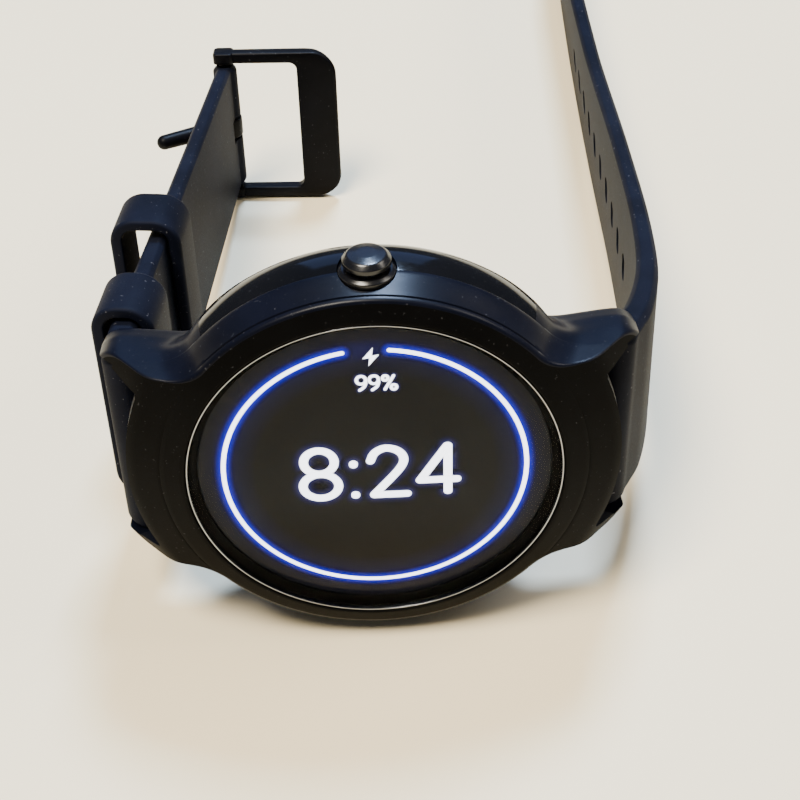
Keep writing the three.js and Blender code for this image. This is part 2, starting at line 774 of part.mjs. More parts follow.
// Loose loop round the buckle strap, from one run along the strap to another.
function keeperLoop({ from, to, opening }) {
  const { half, side, wall } = keeper;
  const inner = roundedRect(opening / 2, half, 1.4);
  const outer = roundedRect(opening / 2 + wall, half + side, 3.0);
  outer.holes.push(new THREE.Path(inner.getPoints(5)));
  const settings = { depth: to - from, bevelEnabled: false, curveSegments: 5 };
  const loop = new THREE.ExtrudeGeometry(outer, settings).rotateX(-Math.PI / 2);
  loop.scale(1, 1, -1);
  const inset = strapThickness(from + strapBend.depth - barDepth) / 2 + gap;
  loop.translate(inset - opening / 2, from, 0);
  loop.rotateZ(-Math.atan2(strapWay.x, strapWay.y));
  loop.translate(strapTurn.x, strapTurn.y, 0);
  return solid(loop);
}
piece("keeper_near", keeperLoop(nearKeeper), looks.silicone);
piece("keeper_far", keeperLoop(farKeeper), looks.silicone);

// --------------------------------------------------- stand the watch on Z = 0

group.updateMatrixWorld(true);
const bounds = new THREE.Box3().setFromObject(group, true);
const middle = bounds.getCenter(new THREE.Vector3());
watch.position.set(-middle.x, -middle.y, -bounds.min.z);
group.updateMatrixWorld(true);

export default group;
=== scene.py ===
"""Looks of the smartwatch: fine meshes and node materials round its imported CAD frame.

Everything is drawn in the watch frame, in millimetres: X runs from the buckle
strap to the strap with holes, Y from the glass to the wrist side and Z up to the
crown. link() turns that into the row frame, in metres.
"""

import json
import math

import bmesh
import bpy
import numpy as np
from mathutils import Matrix, Vector


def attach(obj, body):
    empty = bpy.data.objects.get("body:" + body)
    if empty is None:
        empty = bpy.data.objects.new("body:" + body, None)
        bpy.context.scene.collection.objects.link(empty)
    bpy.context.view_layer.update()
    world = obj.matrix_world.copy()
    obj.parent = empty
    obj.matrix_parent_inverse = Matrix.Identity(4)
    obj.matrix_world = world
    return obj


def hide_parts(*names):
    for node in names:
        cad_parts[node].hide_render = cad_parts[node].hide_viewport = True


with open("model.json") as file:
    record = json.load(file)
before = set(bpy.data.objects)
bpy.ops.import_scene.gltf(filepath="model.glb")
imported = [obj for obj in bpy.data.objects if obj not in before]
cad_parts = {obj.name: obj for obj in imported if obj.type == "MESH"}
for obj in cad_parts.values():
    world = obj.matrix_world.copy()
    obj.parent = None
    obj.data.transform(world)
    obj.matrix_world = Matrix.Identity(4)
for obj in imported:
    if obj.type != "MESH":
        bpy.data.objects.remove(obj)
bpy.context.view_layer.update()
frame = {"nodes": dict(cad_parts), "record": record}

MM = 0.001
TAU = 2 * math.pi
WELD = 1e-7  # metres

# ---- dimensions ----

GAP = 0.3
GLASS_R, GLASS_T = 17.9, 1.0
SEAT_R, SEAT_DEPTH = 18.2, 2.0
DISPLAY_FRONT = 1.3
BORE = 17.3
FLAT_R = 18.4  # the face slopes back from here
PLATE_R = 23.9  # front plate between the lugs
FACE_SLOPE, LUG_SLOPE, CREASE = 0.36, 1.2, 0.9  # slopes, and half the width of the bend between them
BACK = 10.3
LUG_END, LUG_HALF, LUG_FILLET, LUG_CORNER, LUG_ROUND = 26.3, 12.05, 4.5, 3.0, 2.2
SADDLE_X, SADDLE_DIP, SADDLE_WIDE = 19.0, 1.9, 2.6  # where each lug leaves the barrel
RISE_PAST, SADDLE_RISE, RISE_WIDE = 4.6, 0.5, 1.6  # the lug's rise, that far past the dip
SLOT_HALF, SLOT_WALL, PLATE_BACK, WEB_BACK = 11.05, 21.3, 3.8, 5.2
FACE_LINE_R = 20.6  # faint line round the front plate
STEP_DEPTH, STEP_DROP = 4.1, 0.12  # where the satin wall steps in and changes to gloss
RIM_IN, EDGE_IN, EDGE_DROP = 0.32, 0.22, 0.3  # the wall's softened front edge
BACK_TURN, BACK_IN = 0.25, 0.35  # and its back edge
HAIRLINE = ((0.12, 0.0), (0.18, 0.15), (0.26, 0.15), (0.34, 0.0))  # depth past the front edge, cut
BARREL_Y, BARREL_R = 6.5, 21.8  # where the barrel is widest
# Depth, barrel radius and change in lug half width, from the face to the wrist side.
WALL = [
    (-0.5, 20.1, -0.3), (1.1, 20.5, -0.2), (4.0, 21.4, 0.0), (BARREL_Y, BARREL_R, 0.0),
    (8.5, 21.3, -0.1), (10.0, 20.1, -0.4), (11.2, 18.9, -0.7),
]
CROWN_Y, CROWN_BORE, CROWN_WELL = 4.4, 1.9, 2.72
BAR_X, BAR_Y = 23.8, 8.0
STRAP_WIDTH, STRAP_END, STRAP_TAPER, STRAP_TWIST, STRAP_TIP = 21.5, 17.2, 62, 0.0014, 11
ROUTE_POINTS = 1200
HOLES, FIRST_HOLE, HOLE_PITCH = 10, 34, 5.5
HOLE_HALF_WIDE, HOLE_HALF_TALL, HOLE_ROUND = 0.95, 1.7, 0.93
HEAD_R = 1.9
BAR_BORE, PIN_SLOT_HALF, PIN_SLOT = 1.05, 0.8, (5.6, 10.2)
TURN_X, TURN_Y = -24.2, 11.0  # the buckle strap is straight from here on
BUCKLE_X, BUCKLE_Y, BUCKLE_LEAN = -17.05, 70.7, -3.0
BUCKLE_HALF, BUCKLE_ARM, BUCKLE_REACH, BUCKLE_BAR, BUCKLE_THICK = 10.5, 1.45, 14.2, 5.0, 1.6
BUCKLE_HEEL, BUCKLE_ARM_END = 1.25, 1.1
PIVOT = (BUCKLE_X, BUCKLE_Y)
LOOP_R = 1.5  # the strap's end round the buckle bar
SCREW_RING, SCREW_ANGLES = 15.6, (30, 150, 210, 330)
CONTACT_PITCH, CONTACT_Z = 2.6, -10.0

# ---- watch frame ----

face = next(m for m in frame["record"]["mounts"] if m["name"] == "glass_face")
AXIS_Y = -Vector(face["axis"]).normalized()
AXIS_X = Vector((1, 0, 0))
AXIS_Z = AXIS_X.cross(AXIS_Y).normalized()
WATCH = Matrix((AXIS_X, AXIS_Y, AXIS_Z)).transposed().to_4x4()
WATCH.translation = Vector(face["pos_m"])
TILT = math.atan2(-AXIS_Y.z, AXIS_Y.y)


def smoothstep(low, high, x):
    t = np.clip((x - low) / (high - low), 0, 1)
    return t * t * (3 - 2 * t)


def bezier(a, b, c, t):
    """Quadratic curve from a to c, pulled towards b."""
    return (1 - t) ** 2 * a + 2 * t * (1 - t) * b + t**2 * c


def past_ends(points):
    """Points with one more carried on past each end, as the curves below need."""
    p = np.asarray(points, float)
    return np.vstack([2 * p[0] - p[1], p, 2 * p[-1] - p[-2]])


def around(count):
    """Evenly spaced angles, once round."""
    return np.linspace(0, TAU, count, endpoint=False)


def path_length(line):
    return float(np.linalg.norm(np.diff(line, axis=0), axis=1).sum())


# ---- meshes ----


def raw_mesh(name, points, faces):
    """Mesh data from points in millimetres."""
    mesh = bpy.data.meshes.new(name)
    mesh.from_pydata([tuple(p) for p in np.asarray(points, float) * MM], [], faces)
    return mesh


def make(name, points, faces, material, body, node, slot, sharp, mats=None):
    """A piece from points in the watch frame, set in the row frame."""
    mesh = raw_mesh(name, points, faces)
    mesh.validate()
    return finish_piece(name, mesh, material, body, node, sharp, mats)


def new_object(name, data):
    obj = bpy.data.objects.new(name, data)
    bpy.context.scene.collection.objects.link(obj)
    return obj


def link(name, mesh, own_axes=False):
    """Object for a watch-frame mesh. With own_axes it keeps the watch frame as its axes."""
    obj = new_object(name, mesh)
    if own_axes:
        obj.matrix_world = WATCH
    else:
        mesh.transform(WATCH)
    return obj


def finish_piece(name, mesh, material, body, node, sharp, mats=None, own_axes=False):
    """Sets a piece's look and edges, and says what it rides and replaces."""
    outward(mesh)
    obj = link(name, mesh, own_axes)
    for m in material if isinstance(material, list) else [material]:
        mesh.materials.append(m)
    if mats is not None:
        mesh.polygons.foreach_set("material_index", np.asarray(mats, np.int32))
    shade(mesh, sharp)
    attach(obj, body)
    if node:
        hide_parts(node)
    return obj


def outward(mesh):
    bm = bmesh.new()
    bm.from_mesh(mesh)
    bmesh.ops.recalc_face_normals(bm, faces=bm.faces)
    bm.to_mesh(mesh)
    bm.free()


def shade(mesh, sharp):
    mesh.shade_smooth()
    mesh.set_sharp_from_angle(angle=math.radians(sharp))


def grid_faces(rows, columns, offset=0, wrap_rows=False, wrap_columns=True):
    faces = []
    for i in range(rows if wrap_rows else rows - 1):
        for j in range(columns if wrap_columns else columns - 1):
            a, b = i * columns + j, i * columns + (j + 1) % columns
            c, d = ((i + 1) % rows) * columns + (j + 1) % columns, ((i + 1) % rows) * columns + j
            faces.append((a + offset, b + offset, c + offset, d + offset))
    return faces


def tube(sections):
    """Closed skin over a row of closed sections, capped at both ends."""
    rows, columns = len(sections), len(sections[0])
    points = np.concatenate(sections)
    faces = grid_faces(rows, columns)
    faces.append(tuple(range(columns)))
    faces.append(tuple((rows - 1) * columns + k for k in reversed(range(columns))))
    return points, faces


def loop_tube(sections):
    """Skin over sections that run round in a ring."""
    return np.concatenate(sections), grid_faces(len(sections), len(sections[0]), wrap_rows=True)


def fillet(corners, steps):
    """Closed 2-D outline from (x, y, radius) corners, each rounded with steps + 1 points."""
    out = []
    count = len(corners)
    for i in range(count):
        p = np.array(corners[i][:2], float)
        r = corners[i][2]
        a = np.array(corners[i - 1][:2], float) - p
        b = np.array(corners[(i + 1) % count][:2], float) - p
        la, lb = np.hypot(*a), np.hypot(*b)
        if r <= 0 or la < 1e-9 or lb < 1e-9:
            out.append(p)
            continue
        a, b = a / la, b / lb
        half = math.acos(max(-1.0, min(1.0, float(a @ b)))) / 2
        cut = min(r / math.tan(half), 0.49 * la, 0.49 * lb)
        radius = cut * math.tan(half)
        way = (a + b) / np.hypot(*(a + b))
        centre = p + way * radius / math.sin(half)
        start, end = p + a * cut - centre, p + b * cut - centre
        t0 = math.atan2(start[1], start[0])
        turn = (math.atan2(end[1], end[0]) - t0 + math.pi) % TAU - math.pi
        for k in range(steps + 1):
            t = t0 + turn * k / steps
            out.append(centre + radius * np.array([math.cos(t), math.sin(t)]))
    return np.array(out)


def rounded_box(x0, x1, half, radius, steps):
    """Outline of a rounded rectangle, from its lower left corner on."""
    return fillet([(x0, -half, radius), (x1, -half, radius), (x1, half, radius), (x0, half, radius)], steps)


def lathe(corners, segments, centre=(0.0, 0.0), along="y", steps=4):
    """Closed ring or disc from (radius, depth, rounding) corners about the Y or Z axis."""
    outline = fillet(corners, steps)
    angles = around(segments)
    points = np.concatenate([
        np.stack([r * np.cos(angles), np.full(segments, d), r * np.sin(angles)], 1) for r, d in outline
    ])
    if along == "z":
        points = points[:, [0, 2, 1]]
    offset = np.zeros(3)
    offset[0] = centre[0]
    offset[2 if along == "y" else 1] = centre[1]
    return points + offset, grid_faces(len(outline), segments, wrap_rows=True)


def weld(mesh):
    bm = bmesh.new()
    bm.from_mesh(mesh)
    bmesh.ops.remove_doubles(bm, verts=bm.verts, dist=WELD)
    bmesh.ops.dissolve_degenerate(bm, edges=bm.edges, dist=WELD)
    bm.to_mesh(mesh)
    bm.free()


def turned(name, corners, material, body, node, slot, segments, sharp=35, own_axes=False, **kw):
    """Turned piece. Corners at radius 0 meet on the axis."""
    mesh = raw_mesh(name, *lathe(corners, segments, **kw))
    weld(mesh)
    return finish_piece(name, mesh, material, body, node, sharp, None, own_axes)


def cutter(points, faces):
    mesh = raw_mesh("cutter", points, faces)
    weld(mesh)
    outward(mesh)
    return link("cutter", mesh)


def prism(outline, low, high, along="y"):
    """Extrudes a 2-D outline, in (x, z), (x, y) or (y, z), between two values of the other axis."""
    order = {"y": (0, 2, 1), "z": (0, 1, 2), "x": (1, 2, 0)}[along]
    outline = np.asarray(outline)
    rings = []
    for value in (low, high):
        ring = np.zeros((len(outline), 3))
        ring[:, order[0]], ring[:, order[1]], ring[:, order[2]] = outline[:, 0], outline[:, 1], value
        rings.append(ring)
    return tube(rings)


def cylinder(radius, low, high, centre, along="y", segments=64):
    angles = around(segments)
    outline = np.stack([centre[0] + radius * np.cos(angles), centre[1] + radius * np.sin(angles)], 1)
    return prism(outline, low, high, along)


def block(x0, x1, y0, y1, z0, z1):
    return prism([(x0, z0), (x1, z0), (x1, z1), (x0, z1)], y0, y1)


def swing(points, degrees, pivot):
    """Turns points about a Z axis through the pivot."""
    angle = math.radians(degrees)
    x, y = pivot
    dx, dy = points[:, 0] - x, points[:, 1] - y
    out = np.array(points, float)
    out[:, 0] = x + dx * math.cos(angle) - dy * math.sin(angle)
    out[:, 1] = y + dx * math.sin(angle) + dy * math.cos(angle)
    return out


def combine(obj, shapes, operation="DIFFERENCE"):
    """Boolean with each shape in turn, applied to the mesh."""
    for points, faces in shapes:
        tool = cutter(points, faces)
        modifier = obj.modifiers.new("cut", "BOOLEAN")
        modifier.operation, modifier.solver, modifier.object = operation, "EXACT", tool
        bpy.context.view_layer.update()
        solved = obj.evaluated_get(bpy.context.evaluated_depsgraph_get())
        result = bpy.data.meshes.new_from_object(solved)
        obj.modifiers.clear()
        obj.data = result
        bpy.data.objects.remove(tool)
    return obj


# ---- materials ----


class Nodes:
    """Short hand for building one node material."""

    def __init__(self, name):
        self.material = bpy.data.materials.new(name)
        self.material.use_nodes = True
        self.tree = self.material.node_tree
        self.shader = self.tree.nodes["Principled BSDF"]

    def add(self, kind, **values):
        node = self.tree.nodes.new(kind)
        for key, value in values.items():
            if hasattr(node, key) and key not in node.inputs:
                setattr(node, key, value)
            else:
                node.inputs[key].default_value = value
        return node

    def link(self, source, target):
        self.tree.links.new(source, target)

    def put(self, **values):
        for key, value in values.items():
            self.shader.inputs[key.replace("_", " ")].default_value = value

    def noise(self, scale, detail=3.0, roughness=0.55):
        """Noise in the piece's own axes; scale is in features for each metre."""
        place = self.add("ShaderNodeTexCoord")
        node = self.add("ShaderNodeTexNoise", Scale=scale, Detail=detail, Roughness=roughness)
        self.link(place.outputs["Object"], node.inputs["Vector"])
        return node.outputs["Fac"]

    def remap(self, source, low, high, start=0.0, end=1.0):
        node = self.add("ShaderNodeMapRange")
        node.inputs["From Min"].default_value = start
        node.inputs["From Max"].default_value = end
        node.inputs["To Min"].default_value = low
        node.inputs["To Max"].default_value = high
        self.link(source, node.inputs["Value"])
        return node.outputs["Result"]

    def ramp(self, source, stops):
        node = self.add("ShaderNodeValToRGB")
        elements = node.color_ramp.elements
        elements[0].position, elements[0].color = stops[0][0], (*stops[0][1], 1)
        elements[1].position, elements[1].color = stops[1][0], (*stops[1][1], 1)
        for position, colour in stops[2:]:
            elements.new(position).color = (*colour, 1)
        self.link(source, node.inputs["Fac"])
        return node.outputs["Color"]

    def colour(self, source, stops):
        self.link(self.ramp(source, stops), self.shader.inputs["Base Color"])

    def grain(self, source, rough, strength, distance):
        """Gloss and height from one noise."""
        self.link(self.remap(source, *rough, 0.3, 0.7), self.shader.inputs["Roughness"])
        node = self.add("ShaderNodeBump", Strength=strength, Distance=distance)
        self.link(source, node.inputs["Height"])
        self.link(node.outputs["Normal"], self.shader.inputs["Normal"])


DRIFT_SCALE, DUST_SCALE, DUST_TONE = 160, 2600, (0.3, 0.3, 0.32)


def moulded(name, dark, light, rough, grain, bump, specular=0.5, speck=0.0):
    """Moulded rubber or plastic: soft colour drift, fine grain in gloss and height, faint dust.

    dark and light are its two tones, rough the range of its gloss and bump the grain's strength.
    """
    n = Nodes(name)
    drift = n.noise(DRIFT_SCALE, 4)
    fine = n.noise(grain, 5, 0.65)
    colour = n.ramp(drift, [(0.35, dark), (0.68, light)])
    if speck > 0:
        dust = n.noise(DUST_SCALE, 2, 0.5)
        mask = n.remap(dust, 0.0, speck, 0.69, 0.78)
        mix = n.add("ShaderNodeMix", data_type="RGBA")
        mix.inputs["B"].default_value = (*DUST_TONE, 1)
        n.link(mask, mix.inputs["Factor"])
        n.link(colour, mix.inputs["A"])
        colour = mix.outputs["Result"]
    n.link(colour, n.shader.inputs["Base Color"])
    n.grain(fine, rough, bump, 0.00004)
    n.put(Specular_IOR_Level=specular)
    return n.material


def metal(name, tone, rough, brushed, scale=(1, 1, 30)):
    n = Nodes(name)
    place = n.add("ShaderNodeTexCoord")
    stretch = n.add("ShaderNodeMapping")
    stretch.inputs["Scale"].default_value = scale
    lines = n.add("ShaderNodeTexNoise", Scale=2200.0, Detail=4.0, Roughness=0.6)
    n.link(place.outputs["Object"], stretch.inputs["Vector"])
    n.link(stretch.outputs["Vector"], lines.inputs["Vector"])
    drift = n.noise(300, 3)
    shade_low = tuple(0.86 * c for c in tone)
    n.colour(drift, [(0.3, shade_low), (0.7, tone)])
    n.grain(lines.outputs["Fac"], rough, brushed, 0.00002)
    n.put(Metallic=1.0)
    return n.material


# The panel's faint grey emission: partly its backlighting, partly painted light standing in for lamp light
# on it.
BACKLIGHT_AND_PAINTED_LIGHT_LOW, BACKLIGHT_AND_PAINTED_LIGHT_HIGH = (0.0034, 0.0036, 0.0038), (0.0046, 0.0048, 0.0051)
PANEL = {"Base_Color": (0.0005, 0.0005, 0.0005, 1), "Roughness": 0.06, "Specular_IOR_Level": 0.1}
BLUE_INNER, BLUE_OUTER = 0.0115, 0.0171  # metres from the axis


def glow(name, colour, strength):
    """Light from the display, by the mesh's "glow" attribute, over a faint grey: partly the panel's
    backlighting, partly painted light in place of lamp light.
    """
    n = Nodes(name)
    share = n.add("ShaderNodeAttribute", attribute_name="glow")
    pixels = n.noise(5200, 1)
    full = tuple(strength * c for c in colour)
    tone = n.ramp(pixels, [(0.3, tuple(0.92 * c for c in full)), (0.7, full)])
    total = n.add("ShaderNodeMix", data_type="RGBA")
    # Where glow is 0 the sheet emits the panel's faint grey: partly backlighting, partly painted light in
    # place of lamp light.
    total.inputs["A"].default_value = (*BACKLIGHT_AND_PAINTED_LIGHT_LOW, 1)
    n.link(share.outputs["Fac"], total.inputs["Factor"])
    n.link(tone, total.inputs["B"])
    n.link(total.outputs["Result"], n.shader.inputs["Emission Color"])
    n.put(**PANEL, Emission_Strength=1.0)
    return n.material


satin = moulded(
    "case_satin", (0.0018, 0.0023, 0.0055), (0.003, 0.0037, 0.0085),
    (0.27, 0.36), 9000, 0.05, specular=0.13, speck=0.12,
)
gloss = moulded(
    "case_gloss", (0.002, 0.0022, 0.003), (0.0035, 0.0035, 0.0045),
    (0.08, 0.14), 3000, 0.02, specular=0.4, speck=0.05,
)
bezel_matte = moulded(
    "bezel_matte", (0.001, 0.001, 0.0011), (0.0018, 0.0018, 0.002),
    (0.5, 0.62), 9000, 0.12, specular=0.04, speck=0.1,
)
silicone = moulded(
    "strap_silicone", (0.0033, 0.0042, 0.0088), (0.0058, 0.0072, 0.0148),
    (0.52, 0.66), 7000, 0.2, specular=0.04, speck=0.3,
)
crown_black = moulded(
    "crown_gloss", (0.003, 0.003, 0.004), (0.005, 0.005, 0.007),
    (0.2, 0.28), 5000, 0.03, specular=0.5, speck=0.04,
)
buckle_black = moulded(
    "buckle_satin", (0.0018, 0.0018, 0.0026), (0.003, 0.003, 0.0048),
    (0.36, 0.48), 6000, 0.08, specular=0.07, speck=0.15,
)
back_plastic = moulded(
    "back_plastic", (0.005, 0.005, 0.0065), (0.009, 0.009, 0.011),
    (0.28, 0.4), 6000, 0.06, specular=0.5, speck=0.08,
)
rubber = moulded(
    "seal_rubber", (0.012, 0.012, 0.012), (0.02, 0.02, 0.02),
    (0.6, 0.8), 6000, 0.2, specular=0.3,
)
steel = metal("steel", (0.62, 0.63, 0.66), (0.2, 0.34), 0.1)
gold = metal("gold_contact", (0.9, 0.62, 0.25), (0.2, 0.3), 0.06)
rim_metal = metal("rim_line", (0.3, 0.31, 0.34), (0.16, 0.26), 0.02)


def glass_material():
    n = Nodes("cover_glass")
    tint = n.noise(60, 2)
    n.colour(tint, [(0.3, (0.93, 0.94, 0.95)), (0.7, (0.97, 0.97, 0.98))])
    n.put(Transmission_Weight=1.0, IOR=1.05, Roughness=0.0)
    return n.material


def screen_material():
    """Black panel with a faint grey glow, partly its backlighting and partly painted light in place of lamp
    light, and the blue light of the ring round it.
    """
    n = Nodes("display_black")
    place = n.add("ShaderNodeTexCoord")
    split = n.add("ShaderNodeSeparateXYZ")
    n.link(place.outputs["Object"], split.inputs["Vector"])
    flat = n.add("ShaderNodeCombineXYZ")
    n.link(split.outputs["X"], flat.inputs["X"])
    n.link(split.outputs["Z"], flat.inputs["Y"])
    length = n.add("ShaderNodeVectorMath", operation="LENGTH")
    n.link(flat.outputs["Vector"], length.inputs[0])
    glow_rings = n.ramp(
        n.remap(length.outputs["Value"], 0, 1, BLUE_INNER, BLUE_OUTER),
        [(0.0, (0.0, 0.0, 0.0)), (1.0, (0.0, 0.0, 0.0)), (0.3, (0.002, 0.003, 0.02)),
         (0.48, (0.002, 0.003, 0.06)), (0.6, (0.002, 0.003, 0.06)), (0.78, (0.001, 0.001, 0.01))],
    )
    drift = n.noise(120, 2)
    # Faint grey emission with a soft drift: partly backlighting, partly painted light in place of lamp light
    # on the panel.
    backlight_and_painted_light = n.ramp(drift, [(0.3, BACKLIGHT_AND_PAINTED_LIGHT_LOW), (0.7, BACKLIGHT_AND_PAINTED_LIGHT_HIGH)])
    total = n.add("ShaderNodeMix", data_type="RGBA", blend_type="ADD")
    total.inputs["Factor"].default_value = 1.0
    n.link(backlight_and_painted_light, total.inputs["A"])
    n.link(glow_rings, total.inputs["B"])
    n.link(total.outputs["Result"], n.shader.inputs["Emission Color"])
    n.put(**PANEL, Emission_Strength=1.0)
    return n.material


# ---- case ----


def wall_at(depth):
    """Barrel radius and lug half width at a depth, with the CAD levels joined smoothly."""
    y, barrel, lug = (np.array(v) for v in zip(*WALL))
    slopes = np.gradient(barrel, y)
    i = int(np.clip(np.searchsorted(y, depth) - 1, 0, len(y) - 2))
    h = y[i + 1] - y[i]
    t = (depth - y[i]) / h
    curved = (
        (2 * t**3 - 3 * t**2 + 1) * barrel[i]
        + (t**3 - 2 * t**2 + t) * h * slopes[i]
        + (3 * t**2 - 2 * t**3) * barrel[i + 1]
        + (t**3 - t**2) * h * slopes[i + 1]
    )
    return min(float(curved), BARREL_R), LUG_HALF + float(np.interp(depth, y, lug))


def lug_saddle(x, depth):
    """Dip where a lug leaves the barrel and the lug's slight rise past it, both towards the wrist."""
    dip = SADDLE_DIP * math.exp(-(((x - SADDLE_X) / SADDLE_WIDE) ** 2)) * smoothstep(5.0, 9.5, depth)
    rise = SADDLE_RISE * math.exp(-(((x - SADDLE_X - RISE_PAST) / RISE_WIDE) ** 2))
    return float(rise * smoothstep(3.5, 7.5, depth) - dip)


def outline_radius(angle, depth):
    """Distance from the axis to the case's side, in one direction and at one depth."""
    barrel, half = wall_at(depth)
    across, up = abs(math.cos(angle)), abs(math.sin(angle))
    centre_x = math.sqrt((barrel + LUG_FILLET) ** 2 - (half + LUG_FILLET) ** 2)
    a = math.atan2(up, across)
    d = np.array([across, up])
    if a >= math.atan2(half + LUG_FILLET, centre_x):
        radius = barrel
    elif a >= math.atan2(half, centre_x):
        c = np.array([centre_x, half + LUG_FILLET])
        radius = d @ c - math.sqrt(max(0.0, (d @ c) ** 2 - c @ c + LUG_FILLET**2))
    elif a >= math.atan2(half, LUG_END - LUG_CORNER):
        radius = half / up
    elif a >= math.atan2(half - LUG_CORNER, LUG_END):
        c = np.array([LUG_END - LUG_CORNER, half - LUG_CORNER])
        radius = d @ c + math.sqrt(max(0.0, (d @ c) ** 2 - c @ c + LUG_CORNER**2))
    else:
        radius = LUG_END / across
    radius += lug_saddle(radius * across, depth) * up
    over = depth - (BACK - LUG_ROUND)
    end = LUG_END if over <= 0 else LUG_END - LUG_ROUND + math.sqrt(max(0.0, LUG_ROUND**2 - over**2))
    return min(radius, end / across) if across > 1e-6 else radius


def face_depth(radius):
    """Depth of the front: a shallow cone, then the lugs' steeper one, with a soft bend between."""
    past = float(np.clip(radius - PLATE_R + CREASE, 0, 2 * CREASE))
    bend = past**2 / (4 * CREASE) + max(0.0, radius - PLATE_R - CREASE)
    return max(0.0, radius - FLAT_R) * FACE_SLOPE + bend * (LUG_SLOPE - FACE_SLOPE)


def case_section(angle):
    """One radial section of the case, as (radius, depth) points of fixed number, and their zones."""
    depth = 0.7
    for _ in range(30):
        depth = face_depth(outline_radius(angle, depth))
    edge = outline_radius(angle, depth)
    groove = float(smoothstep(12.6, 15.5, edge * abs(math.sin(angle))))
    rear_zone = 2 if groove > 0.5 else 0
    points, zones = [], []

    def add(radius, y, zone):
        points.append((radius, y))
        zones.append(zone)

    for radius, y in ((SEAT_R, SEAT_DEPTH), (SEAT_R, 0.1), (SEAT_R + 0.03, 0.03), (SEAT_R + 0.1, 0.0)):
        add(radius, y, 1)
    rim = edge - RIM_IN
    line = min(FACE_LINE_R, rim - 0.2)
    for radius in np.linspace(FLAT_R, line - 0.08, 6):
        add(radius, face_depth(radius), 1)
    add(line, face_depth(line) + 0.03 * float(rim > FACE_LINE_R + 0.3), 1)
    for radius in np.linspace(line + 0.08, rim, 18):
        add(radius, face_depth(radius), 1)
    zones[-1] = 0
    below = depth + EDGE_DROP
    a = np.array((edge - EDGE_IN, face_depth(edge - EDGE_IN)))
    b, c = np.array((edge, depth)), np.array((outline_radius(angle, below), below))
    for t in np.linspace(0, 1, 5):
        add(*bezier(a, b, c, t), 0)
    for past, cut in HAIRLINE:
        add(outline_radius(angle, below + past) - cut * groove, below + past, 0)
    start = below + 0.6
    step = max(STEP_DEPTH, start + 0.6)
    drop = STEP_DROP * groove
    for y in np.linspace(start, step - 0.1, 8):
        add(outline_radius(angle, y), y, 0)
    add(outline_radius(angle, step) - 0.3 * drop, step - 0.02, 0)
    add(outline_radius(angle, step) - drop, step + 0.03, rear_zone)
    turn, rear = BACK - BACK_TURN, outline_radius(angle, BACK)
    for y in np.linspace(step + 0.12, turn, 14):
        add(outline_radius(angle, y) - drop, y, rear_zone)
    a = np.array((outline_radius(angle, turn) - drop, turn))
    b, c = np.array((rear, BACK)), np.array((rear - BACK_IN, BACK))
    for t in np.linspace(0, 1, 4):
        add(*bezier(a, b, c, t), rear_zone)
    for radius in np.linspace(rear - BACK_IN, BORE, 5)[1:]:
        add(radius, BACK, rear_zone)
    add(BORE, (BACK + SEAT_DEPTH) / 2, 1)
    add(BORE, SEAT_DEPTH, 1)
    return points, zones


def mirrored(half, side):
    """Outline from its upper half, on one side of the case."""
    return [(side * x, z) for x, z in half] + [(side * x, -z) for x, z in half[::-1]]


def case_shell():
    fine = np.linspace(0, TAU, 7201)
    radii = np.array([outline_radius(a, 4.0) for a in fine])
    steps = np.hypot(np.diff(radii), radii[:-1] * np.diff(fine))
    travelled = np.concatenate([[0], np.cumsum(steps)])
    columns = 560
    angles = np.interp(np.arange(columns) * travelled[-1] / columns, travelled, fine)
    points, mats = [], []
    for angle in angles:
        section, zones = case_section(angle)
        points += [(r * math.cos(angle), y, r * math.sin(angle)) for r, y in section]
        mats += zones
    faces = grid_faces(columns, len(section), wrap_rows=True)
    looks = [satin, bezel_matte, gloss]
    obj = make("case_shell", points, faces, looks, "case", "case_body", "case_shell", 30, mats)
    shapes = []
    for side in (-1, 1):
        # Each cutter is a hair wider than the one before it, so that no two faces coincide.
        web = np.array([(SLOT_WALL, 9.5), (22, 9.8), (25, SLOT_HALF), (34, SLOT_HALF)])
        outer = mirrored(web[1:], side)
        arc = [(side * PLATE_R * math.cos(a), PLATE_R * math.sin(a)) for a in np.linspace(-0.4, 0.4, 41)]
        shapes.append(prism(arc + outer, -3, PLATE_BACK + 0.02))
        web += (0, 0.01)
        shapes.append(prism(mirrored(web, side), PLATE_BACK, WEB_BACK + 0.02))
        wall = sorted((side * (SLOT_WALL - 0.01), side * 35))
        shapes.append(block(*wall, WEB_BACK, 14, -SLOT_HALF - 0.02, SLOT_HALF + 0.02))
    shapes.append(cylinder(CROWN_BORE, 15, 30, (0, CROWN_Y), "z"))
    shapes.append(cylinder(CROWN_WELL, 20.4, 30, (0, CROWN_Y), "z", 96))
    combine(obj, shapes)
    shade(obj.data, 30)


case_shell()

turned("glass_lens", [
    (0, 0, 0), (GLASS_R - 0.62, 0, 0.5), (GLASS_R, 0.36, 0.12), (GLASS_R, GLASS_T, 0.08), (0, GLASS_T, 0),
], glass_material(), "case", "cover_glass", "cover_glass", 256, 50)
turned("glass_rim_line", [
    (GLASS_R + 0.04, 0.1, 0.03), (GLASS_R + 0.18, 0.07, 0.04),
    (GLASS_R + 0.18, 0.7, 0.02), (GLASS_R + 0.04, 0.7, 0.02),
], rim_metal, "case", None, "case_shell", 256)
turned("display_face", [
    (0, DISPLAY_FRONT, 0), (17.0, DISPLAY_FRONT, 0.05), (17.0, 2.3, 0.05), (0, 2.3, 0),
], screen_material(), "case", "display_panel", "screen", 192, own_axes=True)
turned("display_surround", [
    (17.05, 1.12, 0.02), (18.15, 1.12, 0.02), (18.15, 1.7, 0.05), (17.05, 1.7, 0.05),
], bezel_matte, "case", "display_gasket", "seal", 192)

# ---- display graphics ----

